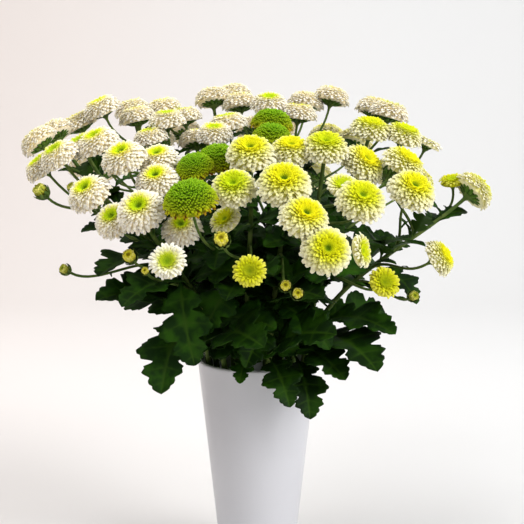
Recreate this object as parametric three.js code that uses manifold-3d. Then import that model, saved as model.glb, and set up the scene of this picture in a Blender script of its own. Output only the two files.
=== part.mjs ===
// Spray chrysanthemums standing in water in a tapered white vase.
// Millimetres, +Z up. The origin is the middle of the vase's foot, on the surface it stands on.
import * as THREE from 'three';
import { mergeVertices } from 'three/addons/utils/BufferGeometryUtils.js';
import Module from 'manifold-3d';

const wasm = await Module();
wasm.setup();

// ---------------------------------------------------------------- driving dimensions

const VASE = {
  height: 190, mouthRadius: 53.5, footRadius: 33, wall: 3.6, floor: 6, edge: 1.2, sides: 30,
};
const WATER = { level: 112, gap: 0.5, holeClearance: 0.5, holeBeyond: 12 };
const STEM = {
  footGap: 0.8, outerFoot: 22, outerMouth: 45, innerFoot: 9, innerMouth: 22,
  footRadius: 2.7, mouthRadius: 2.4, topRadius: 1.6, sides: 5, steps: 4, launch: 0.35,
};
const BRANCH = {
  rootRadius: 1.35, topRadius: 1.1, sides: 3, steps: 2, lowest: 0.40, highest: 0.82,
};
// Rings of a closed bud: [height, radius], in parts of its width.
const BUD = { sides: 4, swell: [[0.30, 0.42], [0.62, 0.50], [0.98, 0.26]] };
const CALYX = { length: 6, share: 0.27, gap: 0.35 };
const LEAF = { thickness: 0.9, arch: 0.3, fold: 0.25, turn: 1.2 };

// A bloom's petals stand on rings of roots. Each place is [distance from the axis, height],
// in parts of the bloom's radius.
const BUTTON = {
  roots: [[0.64, 0.10], [0.80, 0.42], [0.64, 0.70], [0.32, 0.86]],
  tips: [[1.00, 0.22], [0.93, 0.62], [0.60, 0.93]],
  crown: 0.76,
  middle: 0.42,
};
const BLOOM_FORMS = {
  yellow: { round: 7, ...BUTTON },
  white: { round: 6, ...BUTTON },
  lime: {
    round: 8,
    roots: [[0.66, 0.12], [0.84, 0.45], [0.70, 0.84], [0.36, 1.04]],
    tips: [[1.00, 0.22], [0.98, 0.66], [0.66, 1.04]],
    crown: 1.10,
    middle: 0.50,
  },
  open: {
    round: 8,
    roots: [[0.42, 0.12], [0.50, 0.40], [0.32, 0.56]],
    tips: [[1.00, 0.36], [0.72, 0.62]],
    crown: 0.50,
    middle: 0.36,
  },
};

// Half a leaf: where a side vein leaves the midrib, and where the edge that it serves lies,
// along the leaf and out from its midrib, all in parts of the leaf's length.
const LEAF_EDGE = [
  [0.00, 0.00, 0.014],
  [0.24, 0.24, 0.018],
  [0.30, 0.38, 0.215],
  [0.42, 0.46, 0.140],
  [0.52, 0.65, 0.285],
  [0.66, 0.73, 0.160],
];

const FINISHES = {
  vase: { color: 0xf1f1f2, roughness: 0.3 },
  water: { color: 0xdce8e4, roughness: 0.05 },
  green: { color: 0x35521f, roughness: 0.6 },
  white: { color: 0xf6f2e6, roughness: 0.7 },
  yellow: { color: 0xebee9a, roughness: 0.7 },
  lime: { color: 0x78a61c, roughness: 0.7 },
};
const WELD = 1e-4;

// ---------------------------------------------------------------- the bouquet
// Each spray is one cut stem. `ring` and `azimuth` say where it stands in the mouth. Its leaves
// face away from the point `heart`, and its blooms and buds from the point `source`. They run
// from the lowest branch to the stem's own top: [bunch, x, y, z, width], with a direction after
// it for a bloom that faces another way. Blooms of one bunch touch and are one piece.
// Leaves are [place on the stem from mouth to top, x, y, z of the tip].

const SPRAYS = [
  {
    name: 'far_left', ring: 'outer', azimuth: 176, heart: [6, 100, 200],
    source: [-50, 45, 185],
    buds: [],
    blooms: [
      ['white_02', -184, -23, 362, 34], ['white_02', -166, -41, 372, 36],
      ['white_01', -194, 12, 383, 36, [-0.65, 0.10, 0.75]],
      ['white_01', -184, 37, 390, 35, [-0.55, 0.25, 0.80]],
    ],
    leaves: [[0.14, -124, 60, 240], [0.32, -111, 38, 256], [0.50, -154, -10, 304]],
  },
  {
    name: 'left', ring: 'outer', azimuth: 199, heart: [6, 100, 200],
    source: [-50, 45, 185],
    buds: [[-159, -60, 278, 11], [-153, -50, 345, 11], [-179, -50, 342, 15]],
    blooms: [['white_06', -136, -75, 343, 38], ['white_04', -151, -15, 379, 34]],
    leaves: [[0.20, -133, -70, 254], [0.20, -77, -98, 182], [0.42, -128, -84, 276]],
  },
  {
    name: 'left_inner', ring: 'inner', azimuth: 175, heart: [6, 100, 200],
    source: [-50, 45, 185],
    buds: [],
    blooms: [
      ['white_08', -81, -72, 353, 37], ['white_05', -109, -63, 371, 39],
      ['white_08', -82, -47, 369, 36], ['white_04', -134, -36, 383, 37],
      ['white_09', -95, 14, 386, 32],
    ],
    leaves: [[0.32, -81, -28, 306], [0.34, -69, -60, 253]],
  },
  {
    name: 'front_left', ring: 'outer', azimuth: 231, heart: [6, 100, 200],
    source: [-50, 45, 185],
    buds: [[-87, -110, 284, 8], [-100, -100, 294, 14]],
    blooms: [
      ['white_12', -67, -140, 296, 31], ['white_07', -113, -94, 323, 34],
      ['white_13', -60, -88, 316, 34], ['white_07', -90, -111, 332, 40],
    ],
    leaves: [[0.14, 6, -122, 226], [0.52, -106, -112, 256], [0.60, -50, -95, 205]],
  },
  {
    name: 'back_left', ring: 'outer', azimuth: 150, heart: [-34, 130, 200],
    source: [-60, 60, 180],
    buds: [],
    blooms: [
      ['white_03', -166, 63, 398, 36], ['white_09', -81, 24, 401, 34],
      ['white_10', -113, 70, 404, 36], ['white_03', -143, 49, 412, 36, [-0.40, -0.20, 0.90]],
      ['white_10', -120, 91, 411, 35],
    ],
    leaves: [
      [0.11, -92, 76, 230], [0.26, -84, 120, 225], [0.29, -130, 66, 294], [0.32, -102, 20, 330],
    ],
  },
  {
    name: 'top_left', ring: 'inner', azimuth: 125, heart: [6, 150, 200],
    source: [-30, 80, 180],
    buds: [],
    blooms: [
      ['white_14', -55, 32, 383, 34, [-0.10, 0.35, 0.93]], ['white_14', -38, 14, 389, 34],
      ['white_11', -70, 90, 404, 34], ['white_11', -91, 100, 412, 36],
      ['white_15', -44, 110, 422, 36, [-0.15, 0.30, 0.94]],
    ],
    leaves: [[0.34, -58, 64, 286], [0.62, -14, 124, 250]],
  },
  {
    name: 'green', ring: 'inner', azimuth: 218, heart: [6, 100, 200],
    source: [-10, 20, 180],
    buds: [],
    blooms: [
      ['lime_01', -51, -124, 343, 43, [-0.15, -0.42, 0.90]], ['lime_02', -51, -62, 364, 34],
      ['lime_03', 13, -27, 388, 36], ['lime_03', 13, 0, 400, 38],
      ['lime_02', -33, -46, 370, 38],
    ],
    leaves: [[0.62, -34, -90, 282], [0.69, -35, -74, 314]],
  },
  {
    name: 'front', ring: 'outer', azimuth: 258, heart: [6, 100, 200],
    source: [0, 40, 185],
    buds: [[-26, -140, 312, 15]],
    blooms: [
      ['yellow_13', -5, -150, 290, 27], ['yellow_14', -25, -90, 323, 30, [-0.50, -0.55, 0.65]],
      ['yellow_02', -18, -104, 349, 38], ['yellow_01', -5, -77, 375, 41],
    ],
    leaves: [
      [0.04, -14, -80, 186], [0.38, -24, -112, 261], [0.38, 14, -112, 282], [0.46, -44, -88, 228],
    ],
  },
  {
    name: 'front_right', ring: 'outer', azimuth: 283, heart: [6, 100, 200],
    source: [15, 30, 180],
    buds: [[31, -140, 271, 11], [22, -140, 277, 11]],
    blooms: [
      ['yellow_04', 52, -151, 306, 39, [0.18, -0.90, 0.40]],
      ['yellow_04', 36, -138, 329, 40, [0.28, -0.63, 0.72]],
      ['yellow_04', 21, -117, 353, 44], ['yellow_03', 28, -57, 376, 38],
    ],
    leaves: [
      [0.05, 63, -112, 234], [0.05, 27, -98, 171], [0.26, -9, -92, 202], [0.28, 53, -106, 262],
      [0.32, 59, -90, 217], [0.38, 88, -88, 280],
    ],
  },
  {
    name: 'right_inner', ring: 'outer', azimuth: 314, heart: [6, 100, 200],
    source: [40, 40, 180],
    buds: [],
    blooms: [
      ['yellow_11', 99, -120, 277, 27], ['yellow_12', 80, -130, 303, 28, [0.85, -0.45, 0.20]],
      ['yellow_07', 81, -110, 340, 41], ['yellow_07', 68, -95, 350, 28],
      ['yellow_06', 88, -44, 365, 41, [0.55, -0.45, 0.70]], ['yellow_03', 56, -61, 379, 40],
    ],
    leaves: [[0.05, 44, -84, 157], [0.08, 72, -92, 192]],
  },
  {
    name: 'right', ring: 'outer', azimuth: 345, heart: [6, 100, 200],
    source: [60, 60, 185],
    buds: [[127, -80, 259, 11]],
    blooms: [
      ['yellow_10', 148, -80, 291, 32, [0.80, -0.34, 0.50]], ['yellow_08', 126, -73, 345, 41],
      ['yellow_08', 122, -47, 366, 38, [0.50, -0.32, 0.80]],
      ['yellow_09', 170, -7, 349, 24, [-0.15, -0.30, 0.94]],
      ['yellow_09', 188, -14, 341, 38, [0.75, 0.25, 0.61]],
    ],
    leaves: [
      [0.09, 97, -100, 201], [0.17, 115, -68, 225], [0.44, 66, -70, 304], [0.46, 124, -72, 304],
      [0.54, 134, -54, 248],
    ],
  },
  {
    name: 'back_right', ring: 'outer', azimuth: 18, heart: [46, 110, 200],
    source: [60, 60, 185],
    buds: [],
    blooms: [
      ['yellow_17', 155, 97, 341, 38, [0.70, 0.50, 0.50]],
      ['yellow_17', 132, 118, 349, 38, [0.50, 0.65, 0.55]],
      ['white_20', 157, 50, 380, 30], ['yellow_05', 128, 4, 388, 36],
      ['yellow_05', 99, 2, 393, 38], ['white_19', 123, 65, 408, 38],
      ['white_19', 113, 95, 412, 38],
    ],
    leaves: [
      [0.12, 118, 34, 224], [0.26, 56, 60, 330], [0.32, 126, 100, 250], [0.36, 128, 42, 292],
      [0.62, 66, 150, 300],
    ],
  },
  {
    name: 'top', ring: 'inner', azimuth: 70, heart: [16, 140, 200],
    source: [10, 60, 180],
    buds: [],
    blooms: [
      ['white_16', 38, 61, 407, 36], ['white_14', -27, 38, 398, 36],
      ['white_17', 72, 110, 423, 36], ['white_17', 47, 110, 418, 36],
      ['white_15', -17, 103, 417, 36], ['white_15', -24, 130, 426, 36],
      ['white_16', 11, 68, 416, 36, [0.00, -0.30, 0.95]],
    ],
    leaves: [[0.36, 0, 92, 290], [0.52, 60, -8, 330]],
  },
  {
    name: 'rear_left', ring: 'outer', azimuth: 121, heart: [6, -60, 200],
    source: [-30, 20, 185],
    buds: [],
    blooms: [
      ['white_23', -88, 173, 342, 36], ['white_23', -60, 182, 350, 36],
      ['white_21', -168, 99, 360, 36], ['white_21', -148, 121, 354, 36],
      ['white_22', -102, 152, 380, 36], ['white_22', -76, 163, 390, 36],
    ],
    leaves: [
      [0.07, -56, 104, 190], [0.08, 6, 130, 215], [0.30, -38, 134, 262], [0.44, -113, 118, 276],
    ],
  },
  {
    name: 'rear_right', ring: 'outer', azimuth: 60, heart: [6, -60, 200],
    source: [30, 20, 185],
    buds: [],
    blooms: [
      ['yellow_16', 30, 189, 349, 38], ['yellow_16', 60, 186, 343, 38],
      ['yellow_15', 98, 143, 379, 38], ['yellow_15', 71, 157, 384, 38],
      ['white_24', -6, 175, 392, 36], ['white_24', 23, 170, 395, 36],
    ],
    leaves: [
      [0.07, 62, 100, 186], [0.14, 66, 130, 230], [0.26, 90, 104, 244], [0.36, 19, 138, 284],
      [0.50, 98, 120, 290],
    ],
  },
];

// A narrower bloom than this is half open, whatever its colour.
const SMALLEST_BUTTON = 31.5;

// ---------------------------------------------------------------- solids

const vec = (place) => new THREE.Vector3(...place);

function solidOf(geometry) {
  const bare = geometry.clone();
  bare.deleteAttribute('normal');
  bare.deleteAttribute('uv');
  const merged = mergeVertices(bare, WELD);
  return new wasm.Manifold(new wasm.Mesh({
    numProp: 3,
    vertProperties: new Float32Array(merged.getAttribute('position').array),
    triVerts: new Uint32Array(merged.getIndex().array),
  }));
}

function geometryOf(solid) {
  const mesh = solid.getMesh();
  const geometry = new THREE.BufferGeometry();
  geometry.setAttribute('position', new THREE.BufferAttribute(mesh.vertProperties, 3));
  geometry.setIndex(new THREE.BufferAttribute(mesh.triVerts, 1));
  geometry.computeVertexNormals();
  return geometry;
}

function closedGeometry(points, triangles) {
  const geometry = new THREE.BufferGeometry().setFromPoints(points);
  geometry.setIndex(triangles);
  return geometry;
}

const joined = (solids) => solids.reduce((whole, solid) => whole.add(solid));

// A closed skin over rings of points that run anticlockwise as seen from the last ring.
function loft(rings) {
  const sides = rings[0].length;
  const points = rings.flat();
  const triangles = [];
  for (let k = 0; k + 1 < rings.length; k += 1) {
    for (let j = 0; j < sides; j += 1) {
      const a = k * sides + j;
      const b = k * sides + (j + 1) % sides;
      triangles.push(a, b, b + sides, a, b + sides, a + sides);
    }
  }
  const last = (rings.length - 1) * sides;
  for (let j = 1; j + 1 < sides; j += 1) {
    triangles.push(0, j + 1, j);
    triangles.push(last, last + j, last + j + 1);
  }
  return closedGeometry(points, triangles);
}

// A round tube with its own radius at each station: [centre, direction, radius].
function taperedTube(stations, sides) {
  const across = new THREE.Vector3();
  const rings = stations.map(([centre, direction, radius], k) => {
    if (k === 0) {
      across.set(0, 0, 1).cross(direction);
      if (across.lengthSq() < 1e-6) across.set(1, 0, 0);
    }
    across.addScaledVector(direction, -across.dot(direction)).normalize();
    const other = direction.clone().cross(across);
    return Array.from({ length: sides }, (_, j) => {
      const turn = (2 * Math.PI * j) / sides;
      return centre.clone()
        .addScaledVector(across, radius * Math.cos(turn))
        .addScaledVector(other, radius * Math.sin(turn));
    });
  });
  return loft(rings);
}

// ---------------------------------------------------------------- vase and water

const vaseInnerFoot = VASE.footRadius - VASE.wall;
const vaseInnerMouth = VASE.mouthRadius - VASE.wall;

function vaseInnerRadius(height) {
  const share = (height - VASE.floor) / (VASE.height - VASE.floor);
  return THREE.MathUtils.lerp(vaseInnerFoot, vaseInnerMouth, share);
}

function standing(geometry) {
  return geometry.rotateX(Math.PI / 2);
}

function vaseGeometry() {
  const { height, mouthRadius, footRadius, wall, floor, edge, sides } = VASE;
  const profile = [
    [0, 0],
    [footRadius - edge, 0],
    [footRadius, edge],
    [mouthRadius, height - edge],
    [mouthRadius - edge, height],
    [mouthRadius - wall + edge, height],
    [mouthRadius - wall, height - edge],
    [vaseInnerFoot, floor],
    [0, floor],
  ].map(([x, y]) => new THREE.Vector2(x, y));
  return standing(new THREE.LatheGeometry(profile, sides));
}

function waterGeometry(stemLines) {
  const low = VASE.floor + WATER.gap;
  const profile = [
    [0, low],
    [vaseInnerRadius(low) - WATER.gap, low],
    [vaseInnerRadius(WATER.level) - WATER.gap, WATER.level],
    [0, WATER.level],
  ].map(([x, y]) => new THREE.Vector2(x, y));
  let water = solidOf(standing(new THREE.LatheGeometry(profile, VASE.sides)));
  for (const { foot, mouth } of stemLines) {
    const direction = mouth.clone().sub(foot).normalize();
    const start = foot.clone().addScaledVector(direction, -WATER.holeBeyond);
    const end = foot.clone().addScaledVector(direction, WATER.level + WATER.holeBeyond);
    const radius = STEM.footRadius + WATER.holeClearance;
    const hole = taperedTube([[start, direction, radius], [end, direction, radius]], STEM.sides);
    water = water.subtract(solidOf(hole));
  }
  return geometryOf(water);
}

// ---------------------------------------------------------------- blooms

// Each ring of roots is turned by half a step from the one below, and a petal's tip is reached
// from the four roots around it.
function bloomGeometry(form, middle, faces, width) {
  const { round, roots, tips, crown } = form;
  const radius = width / 2;
  const base = middle.clone().addScaledVector(faces, -form.middle * radius);
  const turned = new THREE.Quaternion().setFromUnitVectors(new THREE.Vector3(0, 0, 1), faces);
  const place = (distance, height, turn) => new THREE.Vector3(
    distance * Math.cos(turn), distance * Math.sin(turn), height,
  ).multiplyScalar(radius).applyQuaternion(turned).add(base);
  const step = (2 * Math.PI) / round;
  const points = [];
  const triangles = [];
  roots.forEach(([distance, height], k) => {
    for (let j = 0; j < round; j += 1) points.push(place(distance, height, (j + k / 2) * step));
  });
  tips.forEach(([distance, height], k) => {
    for (let j = 0; j < round; j += 1) {
      const a = k * round + j;
      const b = k * round + (j + 1) % round;
      const tip = points.push(place(distance, height, (j + k / 2 + 0.75) * step)) - 1;
      triangles.push(a, b, tip, b, b + round, tip, b + round, a + round, tip, a + round, a, tip);
    }
  });
  const under = points.push(place(0, 0, 0)) - 1;
  const top = points.push(place(0, crown, 0)) - 1;
  const last = (roots.length - 1) * round;
  for (let j = 0; j < round; j += 1) {
    const next = (j + 1) % round;
    triangles.push(under, next, j, top, last + j, last + next);
  }
  return closedGeometry(points, triangles);
}

const kindOf = (bunch) => bunch.split('_')[0];

function bloomForm(bunch, width) {
  return width < SMALLEST_BUTTON ? BLOOM_FORMS.open : BLOOM_FORMS[kindOf(bunch)];
}

function bloomOf(spray, [bunch, x, y, z, width, turned]) {
  const middle = vec([x, y, z]);
  const faces = turned ? vec(turned) : middle.clone().sub(vec(spray.source));
  faces.normalize();
  const form = bloomForm(bunch, width);
  const seat = middle.clone().addScaledVector(faces, -form.middle * width / 2 - CALYX.gap);
  return { bunch, middle, faces, width, form, seat };
}

// ---------------------------------------------------------------- stems

function footAndMouth({ ring, azimuth }) {
  const turn = THREE.MathUtils.degToRad(azimuth);
  const at = (radius, height) => new THREE.Vector3(
    radius * Math.cos(turn), radius * Math.sin(turn), height,
  );
  return {
    foot: at(STEM[`${ring}Foot`], VASE.floor + STEM.footGap),
    mouth: at(STEM[`${ring}Mouth`], VASE.height),
  };
}

// A stem or branch leaves `from` along `leaving` and comes up to `to` along `arriving`.
function rise(from, leaving, to, arriving) {
  const reach = STEM.launch * from.distanceTo(to);
  return new THREE.CubicBezierCurve3(
    from,
    from.clone().addScaledVector(leaving, reach),
    to.clone().addScaledVector(arriving, -reach),
    to,
  );
}

// A place on the straight-sided tube that a curve is built as, from 0 to 1 along it.
function placeOn(curve, steps, share) {
  const step = Math.min(Math.floor(share * steps), steps - 1);
  return curve.getPoint(step / steps).lerp(curve.getPoint((step + 1) / steps), share * steps - step);
}

function stationsOn(curve, steps, firstRadius, lastRadius) {
  return Array.from({ length: steps + 1 }, (_, k) => {
    const share = k / steps;
    const radius = THREE.MathUtils.lerp(firstRadius, lastRadius, share);
    return [curve.getPoint(share), curve.getTangent(share), radius];
  });
}

function calyxStations({ seat, faces, width }) {
  return [[seat, faces, (CALYX.share * width) / 2]];
}

function budStations(base, faces, width) {
  return BUD.swell.map(([height, radius]) => [
    base.clone().addScaledVector(faces, height * width), faces, radius * width,
  ]);
}

function mainStem(spray, top) {
  const { foot, mouth } = footAndMouth(spray);
  const up = mouth.clone().sub(foot).normalize();
  const neck = top.seat.clone().addScaledVector(top.faces, -CALYX.length);
  const curve = rise(mouth, up, neck, top.faces);
  const stations = [
    [foot, up, STEM.footRadius],
    ...stationsOn(curve, STEM.steps, STEM.mouthRadius, STEM.topRadius),
    ...calyxStations(top),
  ];
  return { foot, mouth, curve, solid: solidOf(taperedTube(stations, STEM.sides)) };
}

function branch(curve, share, neck, faces, ending, sides) {
  const root = placeOn(curve, STEM.steps, share);
  const path = rise(root, curve.getTangent(share), neck, faces);
  const stations = stationsOn(path, BRANCH.steps, BRANCH.rootRadius, BRANCH.topRadius);
  return solidOf(taperedTube([...stations, ...ending], sides));
}

// ---------------------------------------------------------------- leaves

// The midrib is an arched curve from the stem to the tip. The upper face looks up, and away
// from the heart of its spray. The blade's two halves rise a little from the midrib, and the
// same triangles cover its upper and its lower face.
function leafGeometry(root, tip, heart) {
  const chord = tip.clone().sub(root);
  const length = chord.length();
  const along = chord.clone().normalize();
  const middle = root.clone().lerp(tip, 0.5);
  const up = middle.clone().sub(heart).setLength(LEAF.turn).add(new THREE.Vector3(0, 0, 1));
  up.addScaledVector(along, -up.dot(along)).normalize();
  const side = along.clone().cross(up);
  const crest = middle.addScaledVector(up, LEAF.arch * length);
  const midrib = new THREE.QuadraticBezierCurve3(root, crest, tip);
  const place = (station, out, face) => {
    const normal = side.clone().cross(midrib.getTangent(station));
    return midrib.getPoint(station)
      .addScaledVector(side, out * length)
      .addScaledVector(normal, Math.abs(out) * length * LEAF.fold + face * LEAF.thickness / 2);
  };
  const points = [];
  for (const face of [1, -1]) {
    for (const [vein, station, out] of LEAF_EDGE) {
      points.push(place(vein, 0, face), place(station, out, face), place(station, -out, face));
    }
    points.push(place(1, 0, face));
  }
  const row = 3;
  const under = LEAF_EDGE.length * row + 1;
  const end = under - 1;
  const triangles = [];
  const bothFaces = (a, b, c) => {
    triangles.push(a, b, c, under + a, under + c, under + b);
  };
  const wall = (a, b) => {
    triangles.push(a, under + a, under + b, a, under + b, b);
  };
  for (let k = 0; k + 1 < LEAF_EDGE.length; k += 1) {
    const [mid, right, left] = [k * row, k * row + 1, k * row + 2];
    bothFaces(mid, right, right + row);
    bothFaces(mid, right + row, mid + row);
    bothFaces(mid, mid + row, left + row);
    bothFaces(mid, left + row, left);
    wall(right, right + row);
    wall(left + row, left);
  }
  const [mid, right, left] = [end - row, end - row + 1, end - row + 2];
  bothFaces(mid, right, end);
  bothFaces(mid, end, left);
  wall(right, end);
  wall(end, left);
  wall(2, 0);
  wall(0, 1);
  return closedGeometry(points, triangles);
}

// ---------------------------------------------------------------- assembly

function greenery(spray, blooms) {
  const stem = mainStem(spray, blooms[blooms.length - 1]);
  const pieces = [stem.solid];
  const side = [
    ...spray.buds.map((bud) => ({ bud })),
    ...blooms.slice(0, -1).map((bloom) => ({ bloom })),
  ];
  side.forEach(({ bud, bloom }, k) => {
    const share = THREE.MathUtils.lerp(
      BRANCH.lowest, BRANCH.highest, side.length > 1 ? k / (side.length - 1) : 0.5,
    );
    if (bloom) {
      const neck = bloom.seat.clone().addScaledVector(bloom.faces, -CALYX.length);
      const ending = calyxStations(bloom);
      pieces.push(branch(stem.curve, share, neck, bloom.faces, ending, BRANCH.sides));
      return;
    }
    const [x, y, z, width] = bud;
    const faces = vec([x, y, z]).sub(vec(spray.source)).normalize();
    const base = vec([x, y, z]).addScaledVector(faces, -width / 2);
    const ending = budStations(base, faces, width);
    pieces.push(branch(stem.curve, share, base, faces, ending, BUD.sides));
  });
  for (const [share, x, y, z] of spray.leaves) {
    const root = placeOn(stem.curve, STEM.steps, share);
    pieces.push(solidOf(leafGeometry(root, vec([x, y, z]), vec(spray.heart))));
  }
  return { stem, solid: joined(pieces) };
}

function piece(name, geometry, finish, place = new THREE.Vector3()) {
  const material = new THREE.MeshStandardMaterial({ ...finish, metalness: 0 });
  geometry.translate(-place.x, -place.y, -place.z);
  const mesh = new THREE.Mesh(geometry, material);
  mesh.name = name;
  mesh.position.copy(place);
  return mesh;
}

const bouquet = new THREE.Group();
const bunches = new Map();
const stemLines = [];
for (const spray of SPRAYS) {
  const blooms = spray.blooms.map((bloom) => bloomOf(spray, bloom));
  const { stem, solid } = greenery(spray, blooms);
  stemLines.push(stem);
  bouquet.add(piece(`stem_${spray.name}`, geometryOf(solid), FINISHES.green, stem.foot));
  for (const bloom of blooms) {
    if (!bunches.has(bloom.bunch)) bunches.set(bloom.bunch, []);
    bunches.get(bloom.bunch).push(bloom);
  }
}
for (const bunch of [...bunches.keys()].sort()) {
  const blooms = bunches.get(bunch);
  const heads = blooms.map(({ form, middle, faces, width }) => (
    solidOf(bloomGeometry(form, middle, faces, width))
  ));
  const geometry = geometryOf(joined(heads));
  bouquet.add(piece(`blooms_${bunch}`, geometry, FINISHES[kindOf(bunch)], blooms[0].middle));
}

const jar = new THREE.Group();
jar.add(piece('vase', geometryOf(solidOf(vaseGeometry())), FINISHES.vase));
jar.add(piece('water', waterGeometry(stemLines), FINISHES.water));

const chrysanthemumsInVase = new THREE.Group();
chrysanthemumsInVase.add(jar, bouquet);

export default chrysanthemumsInVase;
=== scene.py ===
"""Looks for spray chrysanthemums standing in water in a tapered white vase.

The bouquet's table is in millimetres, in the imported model's frame. Meshes are in metres.
"""
import logging
import math
from dataclasses import dataclass, field
from enum import Enum
from typing import Protocol

import bpy
import numpy as np
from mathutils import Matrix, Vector


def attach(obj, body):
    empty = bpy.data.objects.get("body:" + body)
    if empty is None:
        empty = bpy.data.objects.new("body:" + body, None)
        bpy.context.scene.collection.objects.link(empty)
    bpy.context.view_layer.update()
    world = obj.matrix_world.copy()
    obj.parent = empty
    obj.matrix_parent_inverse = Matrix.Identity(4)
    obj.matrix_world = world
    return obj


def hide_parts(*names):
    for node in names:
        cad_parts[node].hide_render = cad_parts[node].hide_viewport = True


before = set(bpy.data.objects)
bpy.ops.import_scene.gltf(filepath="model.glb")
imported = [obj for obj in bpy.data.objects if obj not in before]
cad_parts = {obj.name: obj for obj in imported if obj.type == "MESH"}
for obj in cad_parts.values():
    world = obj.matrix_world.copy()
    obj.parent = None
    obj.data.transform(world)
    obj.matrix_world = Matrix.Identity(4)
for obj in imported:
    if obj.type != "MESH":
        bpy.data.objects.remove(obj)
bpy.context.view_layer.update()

LOG = logging.getLogger("bouquet")
MM = 0.001
GOLDEN_ANGLE = math.pi * (3.0 - math.sqrt(5.0))
UP = np.array([0.0, 0.0, 1.0])

Place = tuple[float, float, float]
Colour = tuple[float, float, float, float]
Input = float | Colour | bpy.types.NodeSocket


# ------------------------------------------------------------------------ the bouquet's table


class Ring(Enum):
    """Which ring of the vase's mouth a cut stem leans in: (foot radius, mouth radius) in mm."""

    OUTER = (22.0, 45.0)
    INNER = (9.0, 22.0)


@dataclass(frozen=True)
class Spray:
    """One cut stem with its branches.

    Its leaves face away from the point heart, and its blooms and buds from the point source.
    Buds are (x, y, z, width) and blooms (bunch, x, y, z, width, direction if it is turned),
    from the lowest branch to the stem's own top. Leaves are (place on the stem, x, y, z of
    the tip).
    """

    name: str
    ring: Ring
    azimuth: float
    heart: Place
    source: Place
    buds: tuple = ()
    blooms: tuple = ()
    leaves: tuple = ()


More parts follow.
